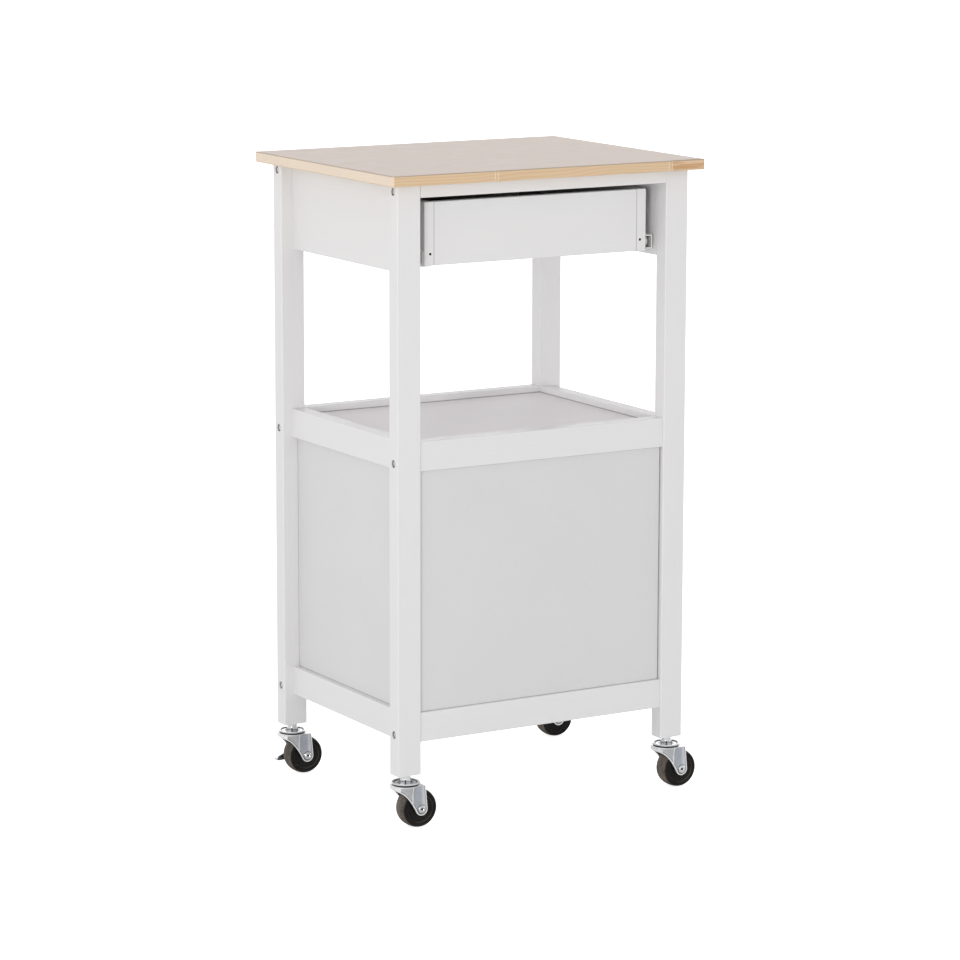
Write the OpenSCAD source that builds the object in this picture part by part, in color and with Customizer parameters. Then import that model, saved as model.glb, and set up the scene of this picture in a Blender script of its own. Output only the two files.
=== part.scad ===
// Kitchen cart with an open microwave bay, one drawer and a cabinet on castors.
// Units are millimetres. X runs to the right as seen from the front, Y to the back
// and Z up. The origin is on the floor under the middle of the wooden top.

/* [Wooden top] */
// Width of the top, side to side
top_w = 471; // [430:1:560]
// Depth of the top, front to back
top_d = 380; // [350:1:460]
// Thickness of the top
top_t = 14; // [12:0.5:25]
// How far the top stands past the legs at each side
overhang_side = 15.5; // [8:0.5:30]
// How far the top stands past the rear legs
overhang_rear = 17; // [8:0.5:30]
// How far the top stands past the front legs
overhang_front = 23; // [23:0.5:40]
// Corner radius of the top, seen from above
top_corner_r = 3; // [2:0.5:10]
// Radius of the eased edges of the top
top_edge_r = 2; // [0.5:0.5:4]

/* [Legs] */
// Length of the legs
leg_len = 770; // [700:1:860]
// Width of a leg, side to side
leg_w = 34; // [30:0.5:45]
// Depth of a leg, front to back
leg_d = 23; // [22:0.5:35]
// Radius of the eased long edges of the legs
leg_edge_r = 1.5; // [0.5:0.5:3]

/* [Rails and aprons] */
// Thickness of the mid and bottom rails
rail_t = 20; // [18:0.5:22]
// Height of the mid and bottom rails
rail_h = 39; // [36:0.5:60]
// Height of the bottom rails above the foot of the legs
bottom_rail_rise = 42.5; // [38:0.5:80]
// Height of the mid rails above the foot of the legs
mid_rail_rise = 400; // [300:1:480]
// Thickness of the flat rails under the top
top_rail_t = 17; // [15:0.5:24]
// Depth of the flat rails under the top
top_rail_d = 40; // [34:1:70]
// Radius of the eased edges of the rails
rail_edge_r = 1; // [0.5:0.5:2]
// Thickness of the side aprons
apron_t = 16; // [12:0.5:22]
// How far the aprons and the drawer front reach below the drawer box
apron_reach = 7.5; // [4:0.5:20]

/* [Panels] */
// Thickness of the side, rear and drawer bottom panels
panel_t = 3; // [2.5:0.1:5]
// Thickness of the tray and of the cabinet floor
shelf_t = 4; // [3:0.5:9]
// Depth of the grooves that hold the panels
groove_depth = 6; // [4:0.5:7]
// Play between a panel and each wall of its groove
groove_play = 0.1; // [0.05:0.05:0.3]
// How far the tray and the cabinet floor lie below the tops of their rails
shelf_drop = 9; // [6:0.5:14]
// How far the rear panel lies in from the rear faces of its rails
rear_panel_inset = 4; // [3:0.5:8]
// Open gap between the rear panel and each rear leg
rear_panel_gap = 1.8; // [0.5:0.1:3]

/* [Drawer] */
// Height of the drawer box
drawer_h = 82; // [70:1:140]
// Gap between the drawer box and the flat rails above it
drawer_drop = 8.5; // [4:0.5:20]
// How far the back of the drawer lies in from the rear faces of the legs
drawer_back_inset = 22; // [15:1:60]
// Thickness of the drawer sides
drawer_side_t = 14; // [12:0.5:18]
// Thickness of the drawer back
drawer_back_t = 12; // [10:0.5:18]
// Thickness of the drawer front
drawer_front_t = 15; // [12:0.5:18]
// Height of the drawer bottom panel above the lower edge of the box
drawer_bottom_rise = 10; // [8:0.5:20]
// Depth of the groove for the drawer bottom panel
drawer_groove = 6; // [4:0.5:8]
// Bore in the end grain of each drawer side
end_hole_d = 3.5; // [2:0.5:6]
// How far the drawer front and the door lie back from the legs' front faces
face_inset = 3; // [1:0.5:5]
// Gap round the drawer front and the door
front_gap = 2; // [1.5:0.1:4]
// Radius of the eased edges of the drawer front and the door
face_edge_r = 1.5; // [0.5:0.5:3]

/* [Runners] */
// Side room that a pair of runner members takes
slide_room = 12.5; // [12:0.1:14]
// Thickness of the strips between the aprons and the fixed members
spacer_t = 5.5; // [3:0.1:12]
// Height of the strips
spacer_h = 30; // [24:1:50]
// Sheet thickness of the runner members
slide_gauge = 1.2; // [1:0.1:1.5]
// Diameter of the rollers
roller_d = 15; // [12:0.5:18]
// Width of the rollers
roller_w = 5; // [4:0.1:5.5]
// Play above and below a roller
roller_play = 0.3; // [0.2:0.05:0.5]
// Diameter of the roller rivets
rivet_d = 4; // [3:0.5:5]
// Width of the fixed member's flanges
channel_flange = 10; // [9:0.5:11]
// How far the fixed member stops short of the drawer box's back
slide_end_gap = 3; // [1:0.5:10]
// How far the fixed member starts behind the drawer front
slide_front_gap = 2; // [1:0.5:6]
// Distance of each roller from the end of its member
roller_from_end = 12; // [10:0.5:20]
// Distance between a roller and the member that carries it
roller_off = 2.3; // [1.5:0.1:2.6]
// Height of the fixed member above the drawer box's lower edge
channel_rise = 2; // [1:0.5:6]

/* [Door and hinges] */
// Thickness of the door
door_t = 15; // [12:0.5:18]
// Width of the door's stiles and rails
stile_w = 45; // [35:1:70]
// Thickness of the door's panel
door_panel_t = 4; // [3:0.5:6]
// Height of a hinge
hinge_h = 50; // [40:1:70]
// Number of knuckles on a hinge
knuckles = 5; // [3:2:7]
// Width of a hinge leaf from the pin
leaf_w = 17; // [14:0.5:18]
// Thickness of a hinge leaf
leaf_t = 1; // [0.8:0.1:1.5]
// Gap between the closed leaves
leaf_gap = 0.6; // [0.4:0.1:1]
// Outside diameter of the knuckles
knuckle_d = 6; // [5.5:0.1:8]
// Gap between the knuckles and the front faces of the legs
knuckle_stand = 0.2; // [0.1:0.05:0.5]
// Diameter of the hinge pin
hinge_pin_d = 3; // [2.5:0.1:4]
// Distance of each hinge from the end of the door
hinge_margin = 40; // [20:1:90]
// Width of the magnetic catch
catch_w = 42; // [30:1:60]
// Distance of the catch from the leg at the knob side
catch_from_leg = 26; // [26:1:60]
// Depth of the catch
catch_d = 12; // [8:0.5:16]

/* [Knobs] */
// Diameter of the knobs
knob_d = 26; // [20:0.5:32]
// How far the knobs stand out
knob_h = 22; // [18:0.5:23]
// Distance of the door knob from the upper edge of the door
knob_drop = 60; // [40:1:160]

/* [Castors] */
// Diameter of the castor wheels
wheel_d = 52; // [40:0.5:60]
// Width of the wheels at the tread
wheel_w = 23; // [16:0.5:26]
// Distance between the swivel axis and the axle
trail = 16; // [14:0.5:22]
// Diameter of the swivel head
race_d = 38; // [34:0.5:42]
// Height of the lower race, pressed up round the crown
race_low_h = 2.2; // [1.5:0.1:3]
// Height of the upper race
race_up_h = 3; // [2.4:0.1:4]
// Diameter of the kingpin
kingpin_d = 8; // [6:0.5:10]
// Height over which the fork's crown narrows to its legs
skirt_h = 11; // [8:0.5:14]
// Height of the fork's skirt at the front
nose_h = 4.5; // [3:0.5:7]
// Sheet thickness of the fork
fork_t = 2; // [1.5:0.1:2.5]
// Gap between the top of the wheel and the crown of the fork
crown_gap = 3; // [1:0.1:4]
// Gap between each face of the tread and the fork
wheel_side_gap = 1.8; // [1:0.1:3]
// Radius of the fork's lower ends
fork_end_r = 8.5; // [7:0.1:10]
// Diameter of the wheel axle
axle_d = 6; // [5:0.1:7]
// Height of the neck between the swivel head and the leg
neck_h = 9.5; // [6:0.5:14]
// Diameter of the threaded stem
stem_d = 8; // [6:0.5:10]
// Length of the stem inside the leg
stem_len = 32; // [20:1:34]
// Thickness of the brake levers
lever_t = 1.5; // [1:0.1:2]
// Reach of the brake levers from the axle
lever_reach = 31; // [29:1:38]

/* [Fasteners and play] */
// Diameter of the frame bolts
bolt_d = 6; // [5:0.5:7]
// Length of the frame bolts under the head
bolt_len = 56; // [50:1:64]
// Diameter of the bolt heads
bolt_head_d = 10; // [9:0.5:12]
// How far the bolt heads are sunk
bolt_sink = 1.5; // [0.5:0.5:4]
// Diameter of the barrel nuts
nut_d = 10; // [8:0.5:11]
// Length of the barrel nuts
nut_len = 12; // [10:0.5:12]
// Diameter of the wooden dowels
dowel_d = 8; // [6:0.5:8]
// Length of the wooden dowels
dowel_len = 30; // [20:1:32]
// Diameter of the screws into the top
screw_d = 4; // [3:0.5:5]
// How far those screws reach into the top
screw_bite = 9; // [6:0.5:10]
// Play round a fastener in its hole, measured on the radius
hole_play = 0.1; // [0.05:0.05:0.3]
// Play of a shaft in its bore, measured on the radius
bore_play = 0.05; // [0.02:0.01:0.08]
// Gap between faces that turn past each other
turn_gap = 0.3; // [0.2:0.05:0.5]

/* [Hidden] */
$fn = 48;
eps = 0.01;
white = "#ECECEA";
panel_white = "#DADAD9";
pine = "#E3C29B";
zinc = "#C9CCCF";
steel = "#B9BCC0";
black = "#26221F";
nylon = "#F4F4F2";
beech = "#D8B98C";

// Castor stack, from the floor up
axle_z = wheel_d / 2;
crown_z = wheel_d + crown_gap;
crown_top = crown_z + fork_t;
race_top = crown_top + race_low_h + turn_gap + race_up_h;
foot_z = race_top + neck_h;

// Frame
head_z = foot_z + leg_len;
total_h = head_z + top_t;
x_out = top_w / 2 - overhang_side;
x_in = x_out - leg_w;
y_rear = top_d / 2 - overhang_rear;
y_front = -top_d / 2 + overhang_front;
y_rear_in = y_rear - leg_d;
y_front_in = y_front + leg_d;
opening_w = 2 * x_in;
leg_x = x_out - leg_w / 2;
leg_y_rear = y_rear - leg_d / 2;
leg_y_front = y_front + leg_d / 2;
bottom_rail_z = foot_z + bottom_rail_rise;
mid_rail_z = foot_z + mid_rail_rise;
bottom_rail_top = bottom_rail_z + rail_h;
mid_rail_top = mid_rail_z + rail_h;
top_rail_z = head_z - top_rail_t;
side_rail_mid_x = x_in + rail_t / 2;
groove_end_play = 0.3;
panel_in_groove = groove_depth - groove_end_play;
tray_z = mid_rail_top - shelf_drop;
floor_z = bottom_rail_top - shelf_drop;
rear_panel_y = y_rear_in + rail_t - rear_panel_inset;

// Drawer
drawer_top = top_rail_z - drawer_drop;
drawer_z = drawer_top - drawer_h;
apron_z = drawer_z - apron_reach;
drawer_w = opening_w - 2 * (slide_room + spacer_t);
face_y = y_front + face_inset;
drawer_box_front = face_y + drawer_front_t;
drawer_box_back = y_rear - drawer_back_inset;
drawer_x = drawer_w / 2;
drawer_bottom_z = drawer_z + drawer_bottom_rise;
drawer_front_top = top_rail_z - front_gap;
end_hole_in = 8.5;
end_hole_rise = 15;
end_hole_deep = 20;

// Runners
channel_x = drawer_x + slide_room;
channel_z = drawer_z + channel_rise;
channel_h = roller_d + 2 * roller_play + 2 * slide_gauge;
channel_back = drawer_box_back - slide_end_gap;
channel_front = drawer_box_front + slide_front_gap;
rear_roller_y = channel_back - roller_from_end;
front_roller_y = channel_front + roller_from_end;
rear_roller_z = channel_z + channel_h / 2;
runner_top = channel_z + channel_h - slide_gauge - roller_play;
runner_z = runner_top - slide_gauge;
front_roller_z = runner_z - roller_play - roller_d / 2;
roller_clear = roller_d / 2 + 1;
spacer_rise = 3;
spacer_end_gap = 28;
web_x = drawer_x + slide_gauge;
rear_roller_x = web_x + roller_off;
rivet_head_t = 0.8;
rivet_play = 0.3;
front_roller_x = channel_x - slide_gauge - roller_off - roller_w;

// Door
hinge_gap = 2 * leaf_t + leaf_gap;
axis_x = -x_in + hinge_gap / 2;
axis_y = y_front - knuckle_d / 2 - knuckle_stand;
door_left = -x_in + hinge_gap;
door_right = x_in - front_gap;
door_z = bottom_rail_top + front_gap;
door_top = mid_rail_z - front_gap;
door_back = face_y + door_t;
knuckle_h = hinge_h / knuckles;
hinge_z = [door_z + hinge_margin, door_top - hinge_margin - hinge_h];
strike_t = 1;
catch_nose_h = 12;
pin_head_t = 1.2;
catch_x = x_in - catch_from_leg - catch_w;

// Fasteners
bolt_rise = groove_depth + nut_d / 2 + 1;
side_dowel_rise = bolt_rise + bolt_d / 2 + dowel_d / 2 + 0.5;
cross_dowel_rise = side_dowel_rise + dowel_d + 0.5;
bolt_end_x = x_out - bolt_sink - bolt_len;
nut_x = bolt_end_x + nut_d / 2;
bolt_head_t = 2.5;
bolt_socket_deep = 1.8;
nut_slot_w = 1.2;
nut_slot_deep = 0.75;
rail_zs = [bottom_rail_z, mid_rail_z];
bolt_zs = [bottom_rail_z + bolt_rise, mid_rail_z + bolt_rise, top_rail_z + top_rail_t / 2];
apron_dowel_zs = [for (share = [0.2, 0.55]) apron_z + share * (head_z - apron_z)];
side_dowel_x = x_in + (rail_t + groove_depth) / 2;
apron_dowel_x = x_in + apron_t / 2;
screw_xs = [-x_in * 0.7, 0, x_in * 0.7];
screw_ys = [(y_front_in + y_front + top_rail_d) / 2, (y_rear_in + y_rear - top_rail_d) / 2];

// A box between two corners, each given as [low, high]
module slab(x, y, z)
    translate([x[0], y[0], z[0]])
        cube([x[1] - x[0], y[1] - y[0], z[1] - z[0]]);

// A flat rectangle with round corners, its low corner at the origin
module round_rect(w, h, r) {
    translate([r, 0]) square([w - 2 * r, h]);
    translate([0, r]) square([w, h - 2 * r]);
    for (x = [r, w - r], y = [r, h - r])
        translate([x, y]) circle(r, $fn = 24);
}

// A bar along X, Y or Z whose long edges are eased
module bar_x(x, y, z, r)
    translate([x[0], y[0], z[0]])
        rotate([90, 0, 90])
            linear_extrude(x[1] - x[0]) round_rect(y[1] - y[0], z[1] - z[0], r);

module bar_y(x, y, z, r)
    translate([x[0], y[1], z[0]])
        rotate([90, 0, 0])
            linear_extrude(y[1] - y[0]) round_rect(x[1] - x[0], z[1] - z[0], r);

module bar_z(x, y, z, r)
    translate([x[0], y[0], z[0]])
        linear_extrude(z[1] - z[0]) round_rect(x[1] - x[0], y[1] - y[0], r);

// A board whose edges are eased all round
module board(x, y, z, r, corner_r)
    intersection() {
        bar_x(x, y, z, r);
        bar_y(x, y, z, r);
        bar_z(x, y, z, corner_r);
    }

// A rod of radius r from a point along +X, +Y or +Z
module rod_x(p, r, len) translate(p) rotate([0, 90, 0]) cylinder(r = r, h = len);
module rod_y(p, r, len) translate(p) rotate([-90, 0, 0]) cylinder(r = r, h = len);
module rod_z(p, r, len) translate(p) cylinder(r = r, h = len);

// Repeats its children at the right and mirrored at the left
module both_sides() {
    children();
    mirror([1, 0, 0]) children();
}

// ---------------------------------------------------------------- top and legs

module tabletop() color(pine)
    difference() {
        board([-top_w / 2, top_w / 2], [-top_d / 2, top_d / 2], [head_z, total_h],
              top_edge_r, top_corner_r);
        for (x = screw_xs, y = screw_ys)
            rod_z([x, y, head_z - 1], screw_d / 2 + hole_play, screw_bite + 1 + hole_play);
    }

// Holes that the right-hand leg at depth y needs; dir is +1 for the rear leg
module leg_holes(y, y_in, dir) {
    for (z = bolt_zs) {
        rod_x([x_in - 1, y, z], bolt_d / 2 + hole_play, leg_w + 2);
        rod_x([x_out - bolt_sink - bolt_head_t, y, z], bolt_head_d / 2 + hole_play,
              bolt_sink + bolt_head_t + 1);
    }
    for (z = rail_zs) {
        rod_x([x_in - 1, y, z + cross_dowel_rise], dowel_d / 2 + hole_play,
              dowel_len / 2 + 1 + hole_play);
        leg_side_dowel(side_dowel_x, y_in, z + side_dowel_rise, dir);
    }
    for (z = apron_dowel_zs)
        leg_side_dowel(apron_dowel_x, y_in, z, dir);
    leg_panel_groove(y_in, dir);
    rod_z([leg_x, y, foot_z - 1], stem_d / 2 + hole_play, stem_len + 2);
}

module leg_side_dowel(x, y_in, z, dir)
    translate([x, y_in - dir, z])
        rotate([-90 * dir, 0, 0])
            cylinder(r = dowel_d / 2 + hole_play, h = dowel_len / 2 + 1 + hole_play);

module leg_panel_groove(y_in, dir)
    slab([side_rail_mid_x - panel_t / 2 - groove_play, side_rail_mid_x + panel_t / 2 + groove_play],
         dir > 0 ? [y_in - 1, y_in + groove_depth] : [y_in - groove_depth, y_in + 1],
         [bottom_rail_top - groove_depth, mid_rail_z + groove_depth]);

module rear_leg()
    difference() {
        bar_z([x_in, x_out], [y_rear_in, y_rear], [foot_z, head_z], leg_edge_r);
        leg_holes(leg_y_rear, y_rear_in, 1);
    }

module front_leg()
    difference() {
        bar_z([x_in, x_out], [y_front, y_front_in], [foot_z, head_z], leg_edge_r);
        leg_holes(leg_y_front, y_front_in, -1);
    }

module leg_rear_right() color(white) rear_leg();
module leg_rear_left() color(white) mirror([1, 0, 0]) rear_leg();
module leg_front_right() color(white) front_leg();
module leg_front_left() color(white) mirror([1, 0, 0]) front_leg();

// ------------------------------------------------------- side rails and aprons

// Dowel bores in both ends of a side member
module side_dowel_bores(x, z)
    for (y = [y_front_in - eps, y_rear_in + eps - dowel_len / 2 - hole_play])
        rod_y([x, y, z], dowel_d / 2 + hole_play, dowel_len / 2 + hole_play);

module side_rail(z)
    difference() {
        bar_y([x_in, x_in + rail_t], [y_front_in, y_rear_in], [z, z + rail_h], rail_edge_r);
        side_dowel_bores(side_dowel_x, z + side_dowel_rise);
        slab([x_in - 1, x_in + groove_depth], [y_front_in - 1, y_rear_in + 1],
             [z + rail_h - shelf_drop - shelf_t - groove_play, z + rail_h - shelf_drop + groove_play]);
    }

// The groove for a side panel, from z_low to z_high
module side_panel_groove(z_low, z_high)
    slab([side_rail_mid_x - panel_t / 2 - groove_play, side_rail_mid_x + panel_t / 2 + groove_play],
         [y_front_in - 1, y_rear_in + 1], [z_low, z_high]);

module mid_side_rail()
    difference() {
        side_rail(mid_rail_z);
        side_panel_groove(mid_rail_z - 1, mid_rail_z + groove_depth);
    }

module bottom_side_rail()
    difference() {
        side_rail(bottom_rail_z);
        side_panel_groove(bottom_rail_top - groove_depth, bottom_rail_top + 1);
    }

module mid_rail_right() color(white) mid_side_rail();
module mid_rail_left() color(white) mirror([1, 0, 0]) mid_side_rail();
module bottom_rail_right() color(white) bottom_side_rail();
module bottom_rail_left() color(white) mirror([1, 0, 0]) bottom_side_rail();

module side_apron()
    difference() {
        bar_y([x_in, x_in + apron_t], [y_front_in, y_rear_in], [apron_z, head_z], rail_edge_r);
        for (z = apron_dowel_zs)
            side_dowel_bores(apron_dowel_x, z);
    }

module apron_right() color(white) side_apron();
module apron_left() color(white) mirror([1, 0, 0]) side_apron();

// ------------------------------------------------------------------ cross rails

// Bolt and barrel nut bores in the right end of a rail; the nut goes in from the
// rail's inner face at y_in, towards dir
module rail_end_bores(y, z, y_in, dir) {
    rod_x([bolt_end_x - 1, y, z], bolt_d / 2 + hole_play, x_in - bolt_end_x + 2);
    translate([nut_x, y_in - dir, z])
        rotate([-90 * dir, 0, 0])
            cylinder(r = nut_d / 2 + hole_play, h = abs(y - y_in) + nut_len / 2 + 1 + hole_play);
}

module rail_end_dowel(y, z)
    rod_x([x_in - dowel_len / 2 - hole_play, y, z], dowel_d / 2 + hole_play,
          dowel_len / 2 + hole_play + 1);

// The groove in a rail's inner face for the tray or the floor
module shelf_groove(y_in, dir, z)
    slab([-x_in - 1, x_in + 1],
         dir > 0 ? [y_in - 1, y_in + groove_depth] : [y_in - groove_depth, y_in + 1],
         [z - shelf_t - groove_play, z + groove_play]);

module cross_rail(z, y_in, y_leg, dir)
    difference() {
        bar_x([-x_in, x_in],
              dir > 0 ? [y_in, y_in + rail_t] : [y_in - rail_t, y_in],
              [z, z + rail_h], rail_edge_r);
        both_sides() {
            rail_end_bores(y_leg, z + bolt_rise, y_in, dir);
            rail_end_dowel(y_leg, z + cross_dowel_rise);
        }
        shelf_groove(y_in, dir, z + rail_h - shelf_drop);
    }

// The groove for the rear panel, from z_low to z_high
module rear_panel_groove(z_low, z_high)
    slab([-x_in - 1, x_in + 1],
         [rear_panel_y - panel_t - groove_play, rear_panel_y + groove_play], [z_low, z_high]);

module mid_rail_rear() color(white)
    difference() {
        cross_rail(mid_rail_z, y_rear_in, leg_y_rear, 1);
        rear_panel_groove(mid_rail_z - 1, mid_rail_z + groove_depth);
    }

module bottom_rail_rear() color(white)
    difference() {
        cross_rail(bottom_rail_z, y_rear_in, leg_y_rear, 1);
        rear_panel_groove(bottom_rail_top - groove_depth, bottom_rail_top + 1);
    }

module mid_rail_front() color(white)
    cross_rail(mid_rail_z, y_front_in, leg_y_front, -1);

module bottom_rail_front() color(white)
    cross_rail(bottom_rail_z, y_front_in, leg_y_front, -1);

// A flat rail under the top; the nuts go in from above, where the top hides them
module top_rail(y, y_leg, screw_y)
    difference() {
        bar_x([-x_in, x_in], y, [top_rail_z, head_z], rail_edge_r);
        both_sides() {
            rod_x([bolt_end_x - 1, y_leg, bolt_zs[2]], bolt_d / 2 + hole_play,
                  x_in - bolt_end_x + 2);
            rod_z([nut_x, y_leg, bolt_zs[2] - nut_len / 2 - hole_play], nut_d / 2 + hole_play,
                  top_rail_t);
        }
        for (x = screw_xs) {
            rod_z([x, screw_y, top_rail_z - 1], screw_d / 2 + hole_play, top_rail_t + 2);
            translate([x, screw_y, top_rail_z - eps])
                cylinder(r1 = screw_d + hole_play, r2 = screw_d / 2 + hole_play, h = screw_d / 2);
        }
    }

module top_rail_rear() color(white)
    top_rail([y_rear - top_rail_d, y_rear], leg_y_rear, screw_ys[1]);

module top_rail_front() color(white)
    top_rail([y_front, y_front + top_rail_d], leg_y_front, screw_ys[0]);

// ----------------------------------------------------------------------- panels

module side_panel()
    slab([side_rail_mid_x - panel_t / 2, side_rail_mid_x + panel_t / 2],
         [y_front_in - panel_in_groove, y_rear_in + panel_in_groove],
         [bottom_rail_top - panel_in_groove, mid_rail_z + panel_in_groove]);

module side_panel_right() color(panel_white) side_panel();
module side_panel_left() color(panel_white) mirror([1, 0, 0]) side_panel();

module rear_panel() color(panel_white)
    slab([-x_in + rear_panel_gap, x_in - rear_panel_gap],
         [rear_panel_y - panel_t, rear_panel_y],
         [bottom_rail_top - panel_in_groove, mid_rail_z + panel_in_groove]);

// A shelf let into the four rails, with its corners cut out round the legs
module shelf(z)
    difference() {
        slab([-x_in - panel_in_groove, x_in + panel_in_groove],
             [y_front_in - panel_in_groove, y_rear_in + panel_in_groove], [z - shelf_t, z]);
        both_sides()
            for (y = [y_front_in - groove_depth, y_rear_in - groove_end_play])
                translate([x_in - groove_end_play, y, z - shelf_t - 1])
                    cube([groove_depth + 1, groove_depth + groove_end_play, shelf_t + 2]);
    }

module tray_panel() color(panel_white) shelf(tray_z);
module cabinet_floor() color(panel_white) shelf(floor_z);

// -------------------------------------------------------------------- fasteners

module frame_bolts() color(steel)
    both_sides()
        for (y = [leg_y_front, leg_y_rear], z = bolt_zs) {
            rod_x([bolt_end_x, y, z], bolt_d / 2, bolt_len);
            difference() {
                rod_x([x_out - bolt_sink - bolt_head_t, y, z], bolt_head_d / 2, bolt_head_t);
                // Socket for a hexagon key
                translate([x_out - bolt_sink - bolt_socket_deep, y, z])
                    rotate([0, 90, 0]) cylinder(d = bolt_d * 0.8, h = bolt_socket_deep + 1, $fn = 6);
            }
        }

// A barrel nut round the bolt at y and z, turned up by the given angle from Y to Z,
// with the slot for the screwdriver that lines it up
module barrel_nut(y, z, turn)
    translate([nut_x, y, z])
        rotate([turn, 0, 0])
            difference() {
                rod_y([0, -nut_len / 2, 0], nut_d / 2, nut_len);
                rod_x([-nut_d, 0, 0], bolt_d / 2 + bore_play, 2 * nut_d);
                for (end = [-1, 1])
                    translate([-nut_d / 2, end * nut_len / 2 - nut_slot_deep, -nut_slot_w / 2])
                        cube([nut_d, 2 * nut_slot_deep, nut_slot_w]);
            }

module barrel_nuts() color(steel)
    both_sides()
        for (y = [leg_y_front, leg_y_rear]) {
            for (z = rail_zs)
                barrel_nut(y, z + bolt_rise, 0);
            barrel_nut(y, bolt_zs[2], 90);
        }

module dowels() color(beech)
    both_sides() {
        for (z = rail_zs) {
            for (y = [leg_y_front, leg_y_rear])
                rod_x([x_in - dowel_len / 2, y, z + cross_dowel_rise], dowel_d / 2, dowel_len);
            for (y = [y_front_in, y_rear_in])
                rod_y([side_dowel_x, y - dowel_len / 2, z + side_dowel_rise], dowel_d / 2, dowel_len);
        }
        for (y = [y_front_in, y_rear_in], z = apron_dowel_zs)
            rod_y([apron_dowel_x, y - dowel_len / 2, z], dowel_d / 2, dowel_len);
    }

module tabletop_screws() color(steel)
    for (x = screw_xs, y = screw_ys) {
        rod_z([x, y, top_rail_z + 0.3], screw_d / 2, top_rail_t - 0.3 + screw_bite);
        translate([x, y, top_rail_z + 0.3])
            cylinder(r1 = screw_d - 0.3, r2 = screw_d / 2, h = screw_d / 2 - 0.3);
    }

// ---------------------------------------------------------------- drawer runners

module slide_spacers() color(white)
    both_sides()
        slab([channel_x, x_in], [y_front_in, y_rear_in - spacer_end_gap],
             [apron_z + spacer_rise, apron_z + spacer_rise + spacer_h]);

// A roller's shouldered rivet, from the middle of a member's sheet towards dir
module roller_rivet(x, y, z, dir) {
    shoulder = slide_gauge / 2 + roller_off - rivet_play;
    head = shoulder + roller_w + 2 * rivet_play;
    translate([x, y, z])
        rotate([0, 90 * dir, 0]) {
            cylinder(r = rivet_d / 2, h = head);
            cylinder(r = rivet_d / 2 + 1.2, h = shoulder);
            translate([0, 0, head]) cylinder(r = rivet_d / 2 + 1.2, h = rivet_head_t);
        }
}

// The fixed member: a channel that opens towards the drawer
module cabinet_slide() {
    x_open = channel_x - channel_flange;
    slab([channel_x - slide_gauge, channel_x], [channel_front, channel_back],
         [channel_z, channel_z + channel_h]);
    slab([x_open, channel_x], [front_roller_y + roller_clear, channel_back],
         [channel_z, channel_z + slide_gauge]);
    slab([x_open, channel_x], [channel_front, channel_back],
         [channel_z + channel_h - slide_gauge, channel_z + channel_h]);
    roller_rivet(channel_x - slide_gauge / 2, front_roller_y, front_roller_z, -1);
}

module cabinet_slides() color(nylon) both_sides() cabinet_slide();

// The moving member: a flange under the drawer side, a web and a runner on top
module drawer_slide() {
    z_low = drawer_z - slide_gauge;
    slab([drawer_x - drawer_side_t + 2, web_x], [drawer_box_front, channel_back],
         [z_low, drawer_z]);
    slab([drawer_x, web_x], [drawer_box_front, channel_back], [z_low, runner_top]);
    slab([drawer_x, front_roller_x + roller_w], [drawer_box_front, rear_roller_y - roller_clear],
         [runner_z, runner_top]);
    roller_rivet(web_x - slide_gauge / 2, rear_roller_y, rear_roller_z, 1);
}

module drawer_slides() color(nylon) both_sides() drawer_slide();

// A grooved nylon roller on its side, starting at x
module roller(x, y, z)
    translate([x, y, z])
        rotate([90, 0, 90])
            rotate_extrude()
                polygon([
                    [rivet_d / 2 + bore_play, 0],
                    [roller_d / 2 - 0.6, 0],
                    [roller_d / 2, 0.6],
                    [roller_d / 2, roller_w - 0.6],
                    [roller_d / 2 - 0.6, roller_w],
                    [roller_d / 2 - 2, roller_w],
                    [roller_d / 2 - 2.6, roller_w - 0.8],
                    [rivet_d / 2 + 1.6, roller_w - 0.8],
                    [rivet_d / 2 + 1.2, roller_w],
                    [rivet_d / 2 + bore_play, roller_w]
                ]);

module cabinet_rollers() color(nylon)
    both_sides() roller(front_roller_x, front_roller_y, front_roller_z);

module drawer_rollers() color(nylon)
    both_sides() roller(rear_roller_x, rear_roller_y, rear_roller_z);

// ----------------------------------------------------------------------- drawer

// The groove for the drawer bottom, cut from a box between y and x limits
module drawer_bottom_groove(x, y)
    slab(x, y, [drawer_bottom_z - groove_play, drawer_bottom_z + panel_t + groove_play]);

module drawer_front() color(white)
    difference() {
        board([-x_in + front_gap, x_in - front_gap], [face_y, drawer_box_front],
              [apron_z, drawer_front_top], face_edge_r, face_edge_r);
        drawer_bottom_groove([-drawer_x + drawer_side_t - drawer_groove,
                              drawer_x - drawer_side_t + drawer_groove],
                             [drawer_box_front - drawer_groove, drawer_box_front + 1]);
        rod_y([0, face_y - 1, knob_z], screw_d / 2 + hole_play, drawer_front_t + 2);
    }

module drawer_side()
    difference() {
        bar_y([drawer_x - drawer_side_t, drawer_x], [drawer_box_front, drawer_box_back],
              [drawer_z, drawer_top], rail_edge_r);
        drawer_bottom_groove([drawer_x - drawer_side_t - 1, drawer_x - drawer_side_t + drawer_groove],
                             [drawer_box_front - 1, drawer_box_back - drawer_back_t / 2]);
        rod_y([drawer_x - end_hole_in, drawer_box_back - end_hole_deep, drawer_z + end_hole_rise],
              end_hole_d / 2, end_hole_deep + 1);
    }

module drawer_side_right() color(white) drawer_side();
module drawer_side_left() color(white) mirror([1, 0, 0]) drawer_side();

module drawer_back() color(panel_white)
    difference() {
        bar_x([-drawer_x + drawer_side_t, drawer_x - drawer_side_t],
              [drawer_box_back - drawer_back_t, drawer_box_back], [drawer_z, drawer_top], rail_edge_r);
        drawer_bottom_groove([-drawer_x, drawer_x],
                             [drawer_box_back - drawer_back_t - 1, drawer_box_back - drawer_back_t / 2]);
    }

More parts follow.
